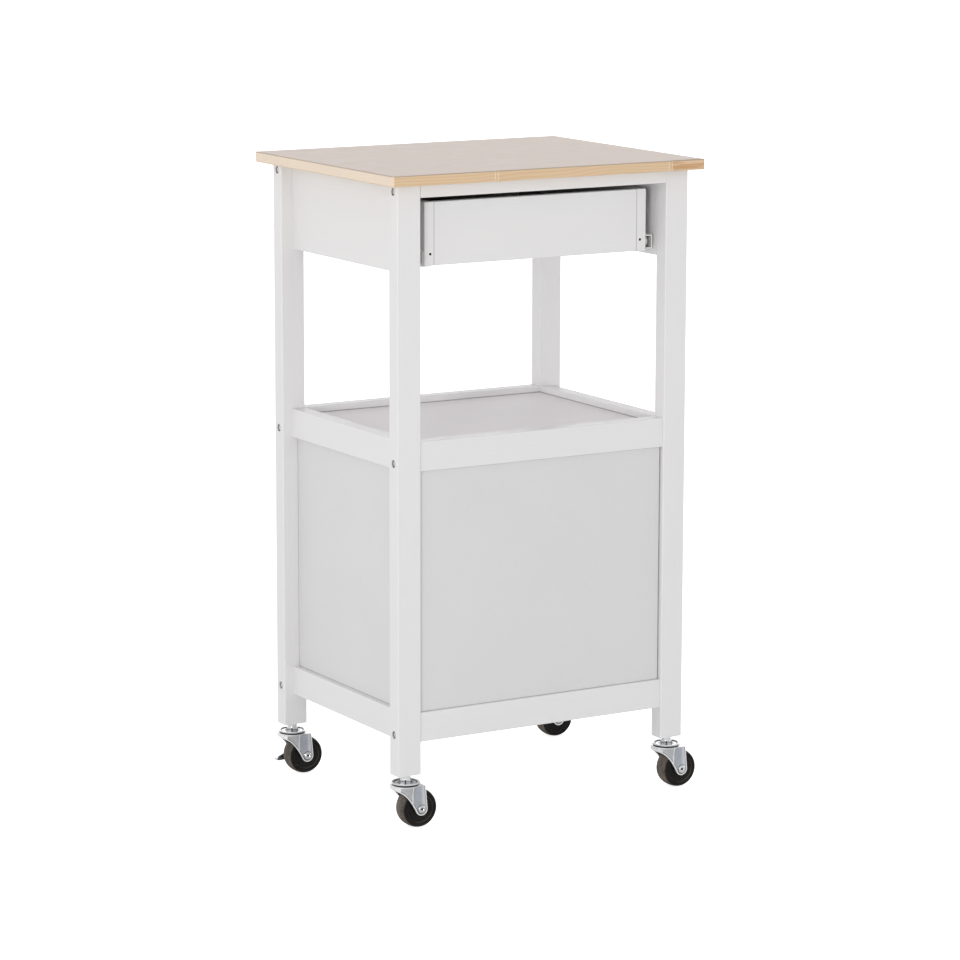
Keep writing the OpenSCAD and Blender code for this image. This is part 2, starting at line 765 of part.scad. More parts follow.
module drawer_bottom() color(panel_white) {
    reach = drawer_x - drawer_side_t + drawer_groove - groove_end_play;
    slab([-reach, reach],
         [drawer_box_front - drawer_groove + groove_end_play,
          drawer_box_back - drawer_back_t / 2 - groove_end_play],
         [drawer_bottom_z, drawer_bottom_z + panel_t]);
}

// Profile of a turned knob: radius against height, with a rounded mushroom head
knob_z = (apron_z + drawer_front_top) / 2;
knob_neck_r = 5;
knob_head_h = 9;
knob_shape = concat(
    [[0, 0], [knob_neck_r + 2, 0], [knob_neck_r + 1.6, 1.5]],
    [for (a = [0 : 15 : 90])
        [knob_neck_r + 3 - 3 * cos(a) - 0.6, knob_h - knob_head_h - 3 + 3 * sin(a)]],
    [for (a = [-60 : 15 : 75])
        [knob_d / 2 - knob_head_h / 2 + knob_head_h / 2 * cos(a),
         knob_h - knob_head_h / 2 + knob_head_h / 2 * sin(a)]],
    [[knob_d / 2 - knob_head_h / 2, knob_h], [0, knob_h]]
);

// A knob and the screw that holds it through a front of thickness t
module knob(x, z, t) {
    bite = knob_h * 0.6;
    difference() {
        translate([x, face_y, z]) rotate([90, 0, 0]) rotate_extrude() polygon(knob_shape);
        rod_y([x, face_y - bite, z], screw_d / 2 + hole_play, bite + 1);
    }
    rod_y([x, face_y - bite + 1, z], screw_d / 2, bite - 1 + t);
    rod_y([x, face_y + t, z], screw_d, screw_d / 2);
}

module drawer_knob() color(steel) knob(0, knob_z, drawer_front_t);

// ------------------------------------------------------------------------- door

module door_stile(x)
    difference() {
        board(x, [face_y, door_back], [door_z, door_top], face_edge_r, face_edge_r);
        door_groove(x[0] < 0 ? [x[1] - groove_depth, x[1] + 1] : [x[0] - 1, x[0] + groove_depth],
                    [door_z - 1, door_top + 1]);
    }

// The groove in the middle of the door's thickness
module door_groove(x, z)
    slab(x, [face_y + door_t / 2 - door_panel_t / 2 - groove_play,
             face_y + door_t / 2 + door_panel_t / 2 + groove_play], z);

// A rail with a stub tongue at each end that fits the stile's groove
module door_rail(z, groove_z)
    difference() {
        union() {
            bar_x([door_left + stile_w + groove_play, door_right - stile_w - groove_play],
                  [face_y, door_back], z, rail_edge_r);
            slab([door_left + stile_w - panel_in_groove, door_right - stile_w + panel_in_groove],
                 [face_y + door_t / 2 - door_panel_t / 2, face_y + door_t / 2 + door_panel_t / 2],
                 [z[0] + 3, z[1] - 3]);
        }
        door_groove([door_left, door_right], groove_z);
    }

module door_frame() color(white)
    difference() {
        union() {
            door_stile([door_left, door_left + stile_w]);
            door_stile([door_right - stile_w, door_right]);
            door_rail([door_z, door_z + stile_w],
                      [door_z + stile_w - groove_depth, door_z + stile_w + 1]);
            door_rail([door_top - stile_w, door_top],
                      [door_top - stile_w - 1, door_top - stile_w + groove_depth]);
        }
        rod_y([door_knob_x, face_y - 1, door_knob_z], screw_d / 2 + hole_play, door_t + 2);
    }

module door_panel() color(panel_white)
    slab([door_left + stile_w - panel_in_groove, door_right - stile_w + panel_in_groove],
         [face_y + door_t / 2 - door_panel_t / 2, face_y + door_t / 2 + door_panel_t / 2],
         [door_z + stile_w - panel_in_groove, door_top - stile_w + panel_in_groove]);

door_knob_x = door_right - stile_w / 2;
door_knob_z = door_top - knob_drop;
module door_knob() color(steel) knob(door_knob_x, door_knob_z, door_t);

// One leaf of a butt hinge on the pin's axis: side is -1 at the leg and +1 at the door,
// and first is the lowest knuckle that it holds
module hinge_leaf(z, side, first) {
    x_near = leaf_gap / 2;
    x_far = leaf_gap / 2 + leaf_t;
    x = side < 0 ? [-x_far, -x_near] : [x_near, x_far];
    translate([axis_x, axis_y, z]) {
        slab(x, [knuckle_d / 2 + turn_gap, leaf_w], [0, hinge_h]);
        for (k = [first : 2 : knuckles - 1])
            difference() {
                union() {
                    translate([0, 0, k * knuckle_h + turn_gap / 2])
                        cylinder(d = knuckle_d, h = knuckle_h - turn_gap);
                    slab(x, [0, knuckle_d],
                         [k * knuckle_h + turn_gap / 2, (k + 1) * knuckle_h - turn_gap / 2]);
                }
                translate([0, 0, k * knuckle_h - 1])
                    cylinder(r = hinge_pin_d / 2 + bore_play, h = knuckle_h + 2);
            }
    }
}

module hinge_frame_leaves() color(zinc)
    for (z = hinge_z) hinge_leaf(z, -1, 0);

module hinge_door_leaves() color(zinc)
    for (z = hinge_z) hinge_leaf(z, 1, 1);

module hinge_pins() color(zinc)
    for (z = hinge_z)
        translate([axis_x, axis_y, z]) {
            cylinder(r = hinge_pin_d / 2, h = hinge_h);
            translate([0, 0, hinge_h])
                cylinder(r1 = knuckle_d / 2 - 0.4, r2 = knuckle_d / 2 - 1.2, h = pin_head_t);
            translate([0, 0, -pin_head_t])
                cylinder(r1 = knuckle_d / 2 - 1.2, r2 = knuckle_d / 2 - 0.4, h = pin_head_t);
        }

// The catch sits on the inner face of the front mid rail, and its nose reaches
// under the rail to the strike
module magnetic_catch() color(nylon) {
    slab([catch_x, catch_x + catch_w], [y_front_in, y_front_in + catch_d],
         [mid_rail_z - catch_nose_h - 1, mid_rail_z + 10]);
    slab([catch_x + 4, catch_x + catch_w - 4], [door_back + strike_t + turn_gap, y_front_in + 1],
         [mid_rail_z - catch_nose_h - 1, mid_rail_z - 1]);
}

module catch_strike() color(steel)
    difference() {
        slab([catch_x + 2, catch_x + catch_w - 2], [door_back, door_back + strike_t],
             [mid_rail_z - catch_nose_h - 2, mid_rail_z - front_gap - 0.5]);
        rod_y([catch_x + catch_w / 2, door_back - 1, mid_rail_z - catch_nose_h / 2 - 2], 1.6, strike_t + 2);
    }

// ---------------------------------------------------------------------- castors

fork_in = wheel_w / 2 + wheel_side_gap;
fork_out = fork_in + fork_t;
race_r = race_d / 2;
crown_r = race_r - 1;
kingpin_r = kingpin_d / 2;
axle_bore_r = axle_d / 2 - 1.4;
axle_head_r = axle_d / 2 + 2.4;
axle_head_t = 1.4;
lever_play = 0.1;
// The point that the fork's swept front edge bends towards: how far in front of the
// swivel axis and how far below the crown
sweep_x = 5;
sweep_drop = 8;

// Where the tangent from p touches the circle of radius r round c; side picks one
function tangent(p, c, r, side) =
    let (d = p - c, a = atan2(d[1], d[0]) + side * acos(r / norm(d)))
    c + r * [cos(a), sin(a)];

// Side view of the fork: a low skirt under the crown that sweeps down into a leg,
// which tapers to the axle
module fork_side() {
    axle = [-trail, axle_z];
    nose = [crown_r + 1, crown_top - nose_h];
    bend = [sweep_x, crown_top - sweep_drop];
    lead = tangent(bend, axle, fork_end_r, -1);
    rear = [-trail - fork_end_r * 0.67, crown_top];
    polygon(concat(
        [[crown_r + 1, crown_top]],
        [for (t = [0 : 0.1 : 1]) (1 - t) * (1 - t) * nose + 2 * t * (1 - t) * bend + t * t * lead],
        [axle, tangent(rear, axle, fork_end_r, 1), rear]
    ));
    translate(axle) circle(fork_end_r);
}

// One face of the fork's sheet: a shoulder that narrows from the crown's radius r
// to the legs, and the straight legs behind it
module fork_face(r, half_w, low, high, reach) {
    translate([0, 0, crown_top - skirt_h])
        cylinder(r1 = half_w, r2 = r, h = high - crown_top + skirt_h);
    slab([-reach, half_w], [-half_w, half_w], [low, high]);
}

module castor_fork()
    difference() {
        union() {
            intersection() {
                difference() {
                    fork_face(crown_r, fork_out, 0, crown_top, trail + fork_end_r + 2);
                    fork_face(crown_r - fork_t, fork_in, -1, crown_z, 2 * (trail + fork_end_r));
                }
                rotate([90, 0, 0])
                    translate([0, 0, -race_r - 1]) linear_extrude(2 * race_r + 2) fork_side();
            }
            // Lower race, pressed up round the crown
            translate([0, 0, crown_top])
                rotate_extrude()
                    polygon([
                        [crown_r - 6, 0],
                        [crown_r - 1, 0],
                        [crown_r, 0.8],
                        [crown_r, race_low_h - 0.8],
                        [crown_r - 1.6, race_low_h],
                        [crown_r - 5, race_low_h]
                    ]);
        }
        rod_z([0, 0, crown_z - 1], kingpin_r + bore_play, fork_t + 2);
        rod_y([-trail, -fork_out - 1, axle_z], axle_d / 2 + bore_play, 2 * fork_out + 2);
    }

// Stem, dished upper race and kingpin, turned as one revolved shape, with a hexagon
// above the dish for a spanner
module castor_head() {
    z_plate = crown_top + race_low_h + turn_gap;
    z_dish = race_top - 1.4;
    neck_r = stem_d / 2 + 2.5;
    translate([0, 0, z_dish])
        cylinder(r = stem_d / 2 + 5, h = neck_h * 0.55, $fn = 6);
    rotate_extrude()
        polygon([
            [0, crown_z - turn_gap - 1.8],
            [kingpin_r + 1.4, crown_z - turn_gap - 1.8],
            [kingpin_r + 2, crown_z - turn_gap - 1.2],
            [kingpin_r + 2, crown_z - turn_gap],
            [kingpin_r, crown_z - turn_gap],
            [kingpin_r, z_plate],
            [race_r - 3, z_plate],
            [race_r, z_plate + 1.2],
            [race_r, race_top - 0.8],
            [race_r - 0.8, race_top],
            [race_r - 2, race_top],
            [race_r - 3.4, z_dish],
            [neck_r, z_dish],
            [neck_r, foot_z],
            [stem_d / 2, foot_z],
            [stem_d / 2, foot_z + stem_len - 1],
            [stem_d / 2 - 1, foot_z + stem_len],
            [0, foot_z + stem_len]
        ]);
}

// Half of the wheel's profile, from the bore out to the crowned tread
hub_half = fork_in - turn_gap;
tread_drop = 2.8;
face_sink = 1.5;
wheel_half = concat(
    [[axle_d / 2 + bore_play, hub_half], [axle_d / 2 + 4, hub_half]],
    [[axle_d / 2 + 5, wheel_w / 2 - face_sink], [wheel_d / 2 - 8, wheel_w / 2 - face_sink]],
    [[wheel_d / 2 - 7, wheel_w / 2]],
    [for (a = [0 : 10 : 90])
        [wheel_d / 2 - tread_drop * (1 - sin(a)), wheel_w / 2 * cos(a)]]
);

module castor_wheel()
    translate([-trail, 0, axle_z])
        rotate([90, 0, 0])
            rotate_extrude($fn = 96)
                polygon(concat(
                    wheel_half,
                    [for (i = [len(wheel_half) - 2 : -1 : 0]) [wheel_half[i][0], -wheel_half[i][1]]]
                ));

// A tubular rivet; extra is the lever thickness under the head at the front
module castor_axle(extra) {
    low = -fork_out - extra - axle_head_t;
    high = fork_out + axle_head_t;
    translate([-trail, 0, axle_z])
        rotate([-90, 0, 0])
            rotate_extrude()
                polygon([
                    [axle_bore_r, low + 0.6],
                    [axle_bore_r + 0.8, low],
                    [axle_head_r - 1.2, low],
                    [axle_head_r, low + 0.8],
                    [axle_head_r, low + axle_head_t],
                    [axle_d / 2, low + axle_head_t],
                    [axle_d / 2, high - axle_head_t],
                    [axle_head_r, high - axle_head_t],
                    [axle_head_r, high - 0.8],
                    [axle_head_r - 1.2, high],
                    [axle_bore_r + 0.8, high],
                    [axle_bore_r, high - 0.6]
                ]);
}

// The lever's outline: a round eye on the axle and a tapered arm to a round tip
lever_eye_r = 7.5;
lever_tip_r = 3.2;
lever_drop = 7;
pad_w = 12;
pad_out = 8;
lever_tip = [lever_reach - lever_tip_r, -lever_drop];
lever_lean = atan2(lever_tip[1], lever_tip[0]);
lever_open = acos((lever_eye_r - lever_tip_r) / norm(lever_tip));

// Points of an arc round c, from one angle to another
function arc(c, r, from, to, steps) =
    [for (i = [0 : steps]) let (a = from + (to - from) * i / steps) c + r * [cos(a), sin(a)]];

module brake_lever()
    translate([-trail, -fork_out - lever_play, axle_z])
        difference() {
            union() {
                rotate([90, 0, 0])
                    linear_extrude(lever_t)
                        polygon(concat(
                            arc([0, 0], lever_eye_r,
                                lever_lean + lever_open, lever_lean + 360 - lever_open, 20),
                            arc(lever_tip, lever_tip_r,
                                lever_lean - lever_open, lever_lean + lever_open, 10)
                        ));
                // Foot pad, bent out from the lower part of the arm
                slab([lever_reach - pad_w, lever_reach], [-lever_t - pad_out, -lever_t / 4],
                     [-lever_drop - lever_tip_r + 0.4, -lever_drop - lever_tip_r + 0.4 + lever_t]);
            }
            rod_y([0, -lever_t - 1, 0], axle_d / 2 + bore_play, lever_t + 2);
        }

// Places a castor's children under a leg; sx and sy pick the corner
module at_leg(sx, sy)
    translate([sx * leg_x, sy > 0 ? leg_y_rear : leg_y_front, 0]) children();

module castor_heads() color(zinc)
    for (sx = [-1, 1], sy = [-1, 1]) at_leg(sx, sy) castor_head();

module fork_front_left() color(zinc) at_leg(-1, -1) castor_fork();
module fork_front_right() color(zinc) at_leg(1, -1) castor_fork();
module fork_rear_left() color(zinc) at_leg(-1, 1) castor_fork();
module fork_rear_right() color(zinc) at_leg(1, 1) castor_fork();
module wheel_front_left() color(black) at_leg(-1, -1) castor_wheel();
module wheel_front_right() color(black) at_leg(1, -1) castor_wheel();
module wheel_rear_left() color(black) at_leg(-1, 1) castor_wheel();
module wheel_rear_right() color(black) at_leg(1, 1) castor_wheel();
module axle_front_left() color(zinc) at_leg(-1, -1) castor_axle(lever_t + 2 * lever_play);
module axle_front_right() color(zinc) at_leg(1, -1) castor_axle(lever_t + 2 * lever_play);
module axle_rear_left() color(zinc) at_leg(-1, 1) castor_axle(0);
module axle_rear_right() color(zinc) at_leg(1, 1) castor_axle(0);
module brake_lever_front_left() color(zinc) at_leg(-1, -1) brake_lever();
module brake_lever_front_right() color(zinc) at_leg(1, -1) brake_lever();

tabletop();
leg_front_left();
leg_front_right();
leg_rear_left();
leg_rear_right();
apron_left();
apron_right();
mid_rail_left();
mid_rail_right();
bottom_rail_left();
bottom_rail_right();
top_rail_front();
top_rail_rear();
mid_rail_front();
mid_rail_rear();
bottom_rail_front();
bottom_rail_rear();
side_panel_left();
side_panel_right();
rear_panel();
tray_panel();
cabinet_floor();
frame_bolts();
barrel_nuts();
dowels();
tabletop_screws();
slide_spacers();
cabinet_slides();
cabinet_rollers();
magnetic_catch();
hinge_frame_leaves();
hinge_pins();
castor_heads();
drawer_front();
drawer_side_left();
drawer_side_right();
drawer_back();
drawer_bottom();
drawer_knob();
drawer_slides();
drawer_rollers();
door_frame();
door_panel();
door_knob();
hinge_door_leaves();
catch_strike();
fork_front_left();
fork_front_right();
fork_rear_left();
fork_rear_right();
wheel_front_left();
wheel_front_right();
wheel_rear_left();
wheel_rear_right();
axle_front_left();
axle_front_right();
axle_rear_left();
axle_rear_right();
brake_lever_front_left();
brake_lever_front_right();
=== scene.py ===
import math
import bpy
import numpy as np
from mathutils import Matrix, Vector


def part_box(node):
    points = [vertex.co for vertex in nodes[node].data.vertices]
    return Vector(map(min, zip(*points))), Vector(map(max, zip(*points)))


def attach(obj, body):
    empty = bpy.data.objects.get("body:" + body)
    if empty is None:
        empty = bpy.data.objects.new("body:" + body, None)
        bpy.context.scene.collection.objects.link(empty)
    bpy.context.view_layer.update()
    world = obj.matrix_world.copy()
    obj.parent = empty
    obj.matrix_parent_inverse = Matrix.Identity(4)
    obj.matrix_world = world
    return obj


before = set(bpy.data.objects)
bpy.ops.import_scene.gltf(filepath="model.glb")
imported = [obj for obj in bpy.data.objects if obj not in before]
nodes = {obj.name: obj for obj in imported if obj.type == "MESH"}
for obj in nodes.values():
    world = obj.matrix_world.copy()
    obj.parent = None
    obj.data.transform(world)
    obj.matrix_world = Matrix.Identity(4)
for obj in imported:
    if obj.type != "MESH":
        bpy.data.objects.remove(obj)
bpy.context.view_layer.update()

print("frame: %d nodes" % len(nodes))


# A long lens behind the cart and off its right-hand side; angles in degrees
camera = {"place": (2.52409, 4.28410, 1.33974), "yaw": -149.453, "down": 10.514, "roll": 0.1257,
          "lens": 140.507, "sensor": 36.0, "clipEnd": 200.0}


def link(name, data):
    made = bpy.data.objects.new(name, data)
    bpy.context.scene.collection.objects.link(made)
    return made


def aim(made, spot, ahead, roll=0.0):
    # Puts a camera or a lamp at the spot, looking ahead, rolled about its own view
    right = np.cross(ahead, (0.0, 0.0, 1.0))
    right /= np.linalg.norm(right)
    up = np.cross(right, ahead)
    turned = np.eye(4)
    turned[:3, 0] = right * math.cos(roll) + up * math.sin(roll)
    turned[:3, 1] = up * math.cos(roll) - right * math.sin(roll)
    turned[:3, 2] = -ahead
    turned[:3, 3] = spot
    made.matrix_world = turned.T.tolist()


def makeCamera(plan):
    # The view runs along (sin yaw cos down, cos yaw cos down, -sin down)
    yaw, down, roll = (math.radians(plan[key]) for key in ("yaw", "down", "roll"))
    ahead = np.array([math.sin(yaw) * math.cos(down), math.cos(yaw) * math.cos(down),
                      -math.sin(down)])
    data = bpy.data.cameras.new("camera")
    data.sensor_width = plan["sensor"]
    data.lens = plan["lens"]
    data.clip_end = plan["clipEnd"]
    made = link("camera", data)
    aim(made, plan["place"], ahead, roll)
    bpy.context.scene.camera = made


makeCamera(camera)


def put(tree, kind, **settings):
    node = tree.nodes.new("ShaderNode" + kind)
    for key, value in settings.items():
        setattr(node, key, value)
    return node


def feed(tree, socket, value):
    if isinstance(value, bpy.types.NodeSocket):
        tree.links.new(value, socket)
    elif value is not None:
        socket.default_value = value


def calc(tree, operation, *values):
    node = put(tree, "Math", operation=operation)
    for socket, value in zip(node.inputs, values):
        feed(tree, socket, value)
    return node.outputs[0]


def ramp(tree, value, low, high, start=0.0, end=1.0):
    # A smooth step from start to end while the value goes from low to high
    node = put(tree, "MapRange", interpolation_type="SMOOTHSTEP")
    for socket, given in zip(node.inputs, (value, low, high, start, end)):
        feed(tree, socket, given)
    return node.outputs[0]


def scaled(tree, vector, factors, shift=(0.0, 0.0, 0.0)):
    node = put(tree, "VectorMath", operation="MULTIPLY_ADD")
    for socket, given in zip(node.inputs, (vector, factors, shift)):
        feed(tree, socket, given)
    return node.outputs[0]


def noise(tree, vector, detail=2.0, roughness=0.5, scale=1.0, distortion=0.0):
    node = put(tree, "TexNoise")
    feed(tree, node.inputs["Vector"], vector)
    node.inputs["Scale"].default_value = scale
    node.inputs["Detail"].default_value = detail
    node.inputs["Roughness"].default_value = roughness
    node.inputs["Distortion"].default_value = distortion
    return node.outputs[0]


def radius(tree, across, up):
    # Distance from the origin of a plane
    return calc(tree, "SQRT", calc(tree, "MULTIPLY_ADD", across, across, calc(tree, "MULTIPLY", up, up)))


def apart(tree, value, other):
    return calc(tree, "ABSOLUTE", calc(tree, "SUBTRACT", value, other))


def blend(tree, factor, first, second):
    node = put(tree, "Mix", data_type="RGBA")
    feed(tree, node.inputs[0], factor)
    feed(tree, node.inputs[6], first)
    feed(tree, node.inputs[7], second)
    return node.outputs[2]


def split(tree, vector):
    node = put(tree, "SeparateXYZ")
    feed(tree, node.inputs[0], vector)
    return node.outputs


def join(tree, *values):
    node = put(tree, "CombineXYZ")
    for socket, value in zip(node.inputs, values):
        feed(tree, socket, value)
    return node.outputs[0]


def facing(tree):
    # The parts of the surface's own normal, in the piece's frame
    return split(tree, put(tree, "TexCoord").outputs["Normal"])


def newGroup(name, takes, gives):
    tree = bpy.data.node_groups.new(name, "ShaderNodeTree")
    for label, kind in takes:
        tree.interface.new_socket(label, in_out="INPUT", socket_type="NodeSocket" + kind)
    for label, kind in gives:
        tree.interface.new_socket(label, in_out="OUTPUT", socket_type="NodeSocket" + kind)
    return tree, tree.nodes.new("NodeGroupInput").outputs, tree.nodes.new("NodeGroupOutput").inputs


def place(tree, group, **values):
    node = put(tree, "Group", node_tree=group)
    for label, value in values.items():
        feed(tree, node.inputs[label], value)
    return node.outputs


def makeBoardGrain():
    # Growth rings are circles round a pith beside the board, wavering along it: the ring number is
    # the distance from the pith over the ring gap, and late wood darkens the end of each ring.
    # Fibres are noise drawn out along the board. Vector runs along the grain in its first part.
    plan = {"sway": 0.045, "lift": 0.03, "aside": (0.05, -0.045), "below": (-0.05, -0.055), "waver": 0.22,
            "late": (0.25, 0.93)}
    tree, takes, gives = newGroup(
        "boardGrain", [("Vector", "Vector"), ("Seed", "Float"), ("Gap", "Float")],
        [("Rings", "Float"), ("Fibres", "Float"), ("Cloud", "Float")])
    random = put(tree, "TexWhiteNoise", noise_dimensions="1D")
    feed(tree, random.inputs["W"], takes["Seed"])
    chance = split(tree, random.outputs["Color"])
    shift = scaled(tree, random.outputs["Color"], (3.0, 3.0, 3.0))
    across, high = split(tree, takes["Vector"])[1:3]
    moved = put(tree, "VectorMath", operation="ADD")
    feed(tree, moved.inputs[0], takes["Vector"])
    feed(tree, moved.inputs[1], shift)
    sway = noise(tree, scaled(tree, moved.outputs[0], (3.2, 9.0, 9.0)), 1.5)
    lift = noise(tree, scaled(tree, moved.outputs[0], (5.0, 14.0, 14.0), (4.0, 1.0, 7.0)), 1.5)
    sideways = calc(tree, "ADD", calc(tree, "MULTIPLY_ADD", sway, plan["sway"], across),
                    calc(tree, "MULTIPLY_ADD", chance[0], *plan["aside"]))
    upwards = calc(tree, "ADD", calc(tree, "MULTIPLY_ADD", lift, plan["lift"], high),
                   calc(tree, "MULTIPLY_ADD", chance[1], *plan["below"]))
    rings = calc(tree, "DIVIDE", radius(tree, sideways, upwards), takes["Gap"])
    fibres = noise(tree, scaled(tree, moved.outputs[0], (30.0, 1100.0, 1100.0)), 3.0, 0.6)
    turn = calc(tree, "FRACT", calc(tree, "MULTIPLY_ADD", fibres, plan["waver"], rings))
    late = calc(tree, "MULTIPLY", ramp(tree, turn, *plan["late"]),
                ramp(tree, turn, plan["late"][1], 1.0, 1.0, 0.0))
    feed(tree, gives["Rings"], late)
    feed(tree, gives["Fibres"], fibres)
    feed(tree, gives["Cloud"], noise(tree, scaled(tree, moved.outputs[0], (6.0, 26.0, 26.0)), 3.0))
    return tree


def nearWhole(tree, value, unit):
    # Distance from the nearest whole number, times the unit
    part = calc(tree, "FRACT", calc(tree, "ADD", value, 0.5))
    return calc(tree, "MULTIPLY", apart(tree, part, 0.5), unit)


def makeGluedTop():
    # The top is strips side by side, each of blocks end to end: strip = floor(depth / width), and
    # the blocks start further along in each strip. Fingers move the block ends by a triangle wave.
    # The nudge keeps the board's rear face inside its last strip. Leap is the share of a block by
    # which the block ends move from strip to strip, and the first strip's own share.
    tree, takes, gives = newGroup(
        "gluedTop", [("Vector", "Vector")],
        [("Vector", "Vector"), ("Seed", "Float"), ("Finger", "Float"), ("Seam", "Float")])
    plan = {"strip": 0.38 / 8, "front": 0.19, "nudge": 0.0001, "block": 0.265, "start": 0.088,
            "leap": (-0.37, 2.59), "middle": 0.849, "finger": 0.0042, "reach": 0.009, "tip": 0.0024,
            "tipLine": (0.0002, 0.0009), "seamLine": (0.00015, 0.0006)}
    x, y, z = split(tree, takes["Vector"])
    strips = calc(tree, "MULTIPLY", calc(tree, "ADD", y, plan["front"] - plan["nudge"]), 1 / plan["strip"])
    strip = calc(tree, "FLOOR", strips)
    within = calc(tree, "SUBTRACT", strips, strip)
    tooth = calc(tree, "PINGPONG", y, plan["finger"] / 2)
    begin = calc(tree, "MULTIPLY_ADD", calc(tree, "FRACT", calc(tree, "MULTIPLY_ADD", strip, *plan["leap"])),
                 plan["block"], plan["start"])
    along = calc(tree, "MULTIPLY_ADD", tooth, plan["reach"] / plan["finger"] * 2, x)
    blocks = calc(tree, "DIVIDE", calc(tree, "SUBTRACT", along, begin), plan["block"])
    block = calc(tree, "FLOOR", blocks)
    toBlock = nearWhole(tree, blocks, plan["block"])
    toStrip = nearWhole(tree, strips, plan["strip"])
    # Two pale lines 5 mm apart are the two sides of a finger's tip on the board's edge
    pair = apart(tree, toBlock, plan["tip"])
    feed(tree, gives["Finger"], ramp(tree, pair, *plan["tipLine"], 1.0, 0.0))
    feed(tree, gives["Seam"], ramp(tree, toStrip, *plan["seamLine"], 1.0, 0.0))
    # Any two blocks get different seeds
    seed = calc(tree, "ADD", calc(tree, "MULTIPLY", strip, 3.71),
                calc(tree, "MULTIPLY_ADD", block, 11.3, 4.2))
    feed(tree, gives["Seed"], seed)
    across = calc(tree, "MULTIPLY", calc(tree, "SUBTRACT", within, 0.5), plan["strip"])
    feed(tree, gives["Vector"], join(tree, x, across, calc(tree, "SUBTRACT", z, plan["middle"])))
    return tree


def makePaintFilm():
    # Sprayed paint: slow clouds in tone, and a fine orange-peel height
    tree, takes, gives = newGroup("paintFilm", [("Vector", "Vector")],
                                  [("Tone", "Float"), ("Peel", "Float"), ("Sheen", "Float")])
    feed(tree, gives["Tone"], noise(tree, takes["Vector"], 3.0, 0.55, 9.0))
    feed(tree, gives["Peel"], noise(tree, takes["Vector"], 2.0, 0.5, 620.0))
    feed(tree, gives["Sheen"], noise(tree, takes["Vector"], 4.0, 0.6, 30.0))
    return tree


def makePlating():
    # Rolled and plated sheet: drawn-out scratches one way, cloudy stains, and specks
    tree, takes, gives = newGroup("plating", [("Vector", "Vector")],
                                  [("Lines", "Float"), ("Cloud", "Float"), ("Specks", "Float")])
    drawn = scaled(tree, takes["Vector"], (120.0, 2600.0, 900.0))
    feed(tree, gives["Lines"], noise(tree, drawn, 3.0, 0.65))
    feed(tree, gives["Cloud"], noise(tree, takes["Vector"], 3.0, 0.6, 70.0, 0.6))
    feed(tree, gives["Specks"], ramp(tree, noise(tree, takes["Vector"], 1.0, 0.5, 900.0), 0.68, 0.78))
    return tree


boardGrain = makeBoardGrain()
gluedTop = makeGluedTop()
paintFilm = makePaintFilm()
plating = makePlating()


def newMaterial(name, roughness, metallic=0.0):
    material = bpy.data.materials.new(name)
    material.use_nodes = True
    tree = material.node_tree
    shader = tree.nodes["Principled BSDF"]
    shader.inputs["Roughness"].default_value = roughness
    shader.inputs["Metallic"].default_value = metallic
    spot = put(tree, "TexCoord").outputs["Object"]
    return material, tree, shader, spot


def addBump(tree, shader, height, strength, distance):
    bump = put(tree, "Bump")
    bump.inputs["Strength"].default_value = strength
    bump.inputs["Distance"].default_value = distance
    feed(tree, bump.inputs["Height"], height)
    feed(tree, shader.inputs["Normal"], bump.outputs[0])


turns = {"x": (0, 1, 2), "y": (1, 2, 0), "z": (2, 0, 1)}


def alongGrain(tree, spot, way):
    parts = split(tree, spot)
    return join(tree, *(parts[i] for i in turns[way]))


# The dark line tone serves paint cracks at joints and the painted shade lines at seats and panel edges; bare
# is the near-black painted shade inside bores
paint = {"light": (0.772, 0.764, 0.765, 1), "dark": (0.752, 0.744, 0.745, 1), "roughness": 0.38,
         "gap": 0.0052, "line": (0.34, 0.34, 0.33, 1), "bare": (0.02, 0.018, 0.016, 1),
         "hairline": (0.0002, 0.0008), "seatShadeLine": (0.0008, 0.0014), "panelShadeLine": (0.0005, 0.0012)}


def nearAxis(tree, across, up, centre, reach):
    # 1 within reach of a line through the centre, 0 outside
    far = radius(tree, calc(tree, "SUBTRACT", across, centre[0]), calc(tree, "SUBTRACT", up, centre[1]))
    return calc(tree, "LESS_THAN", far, reach)


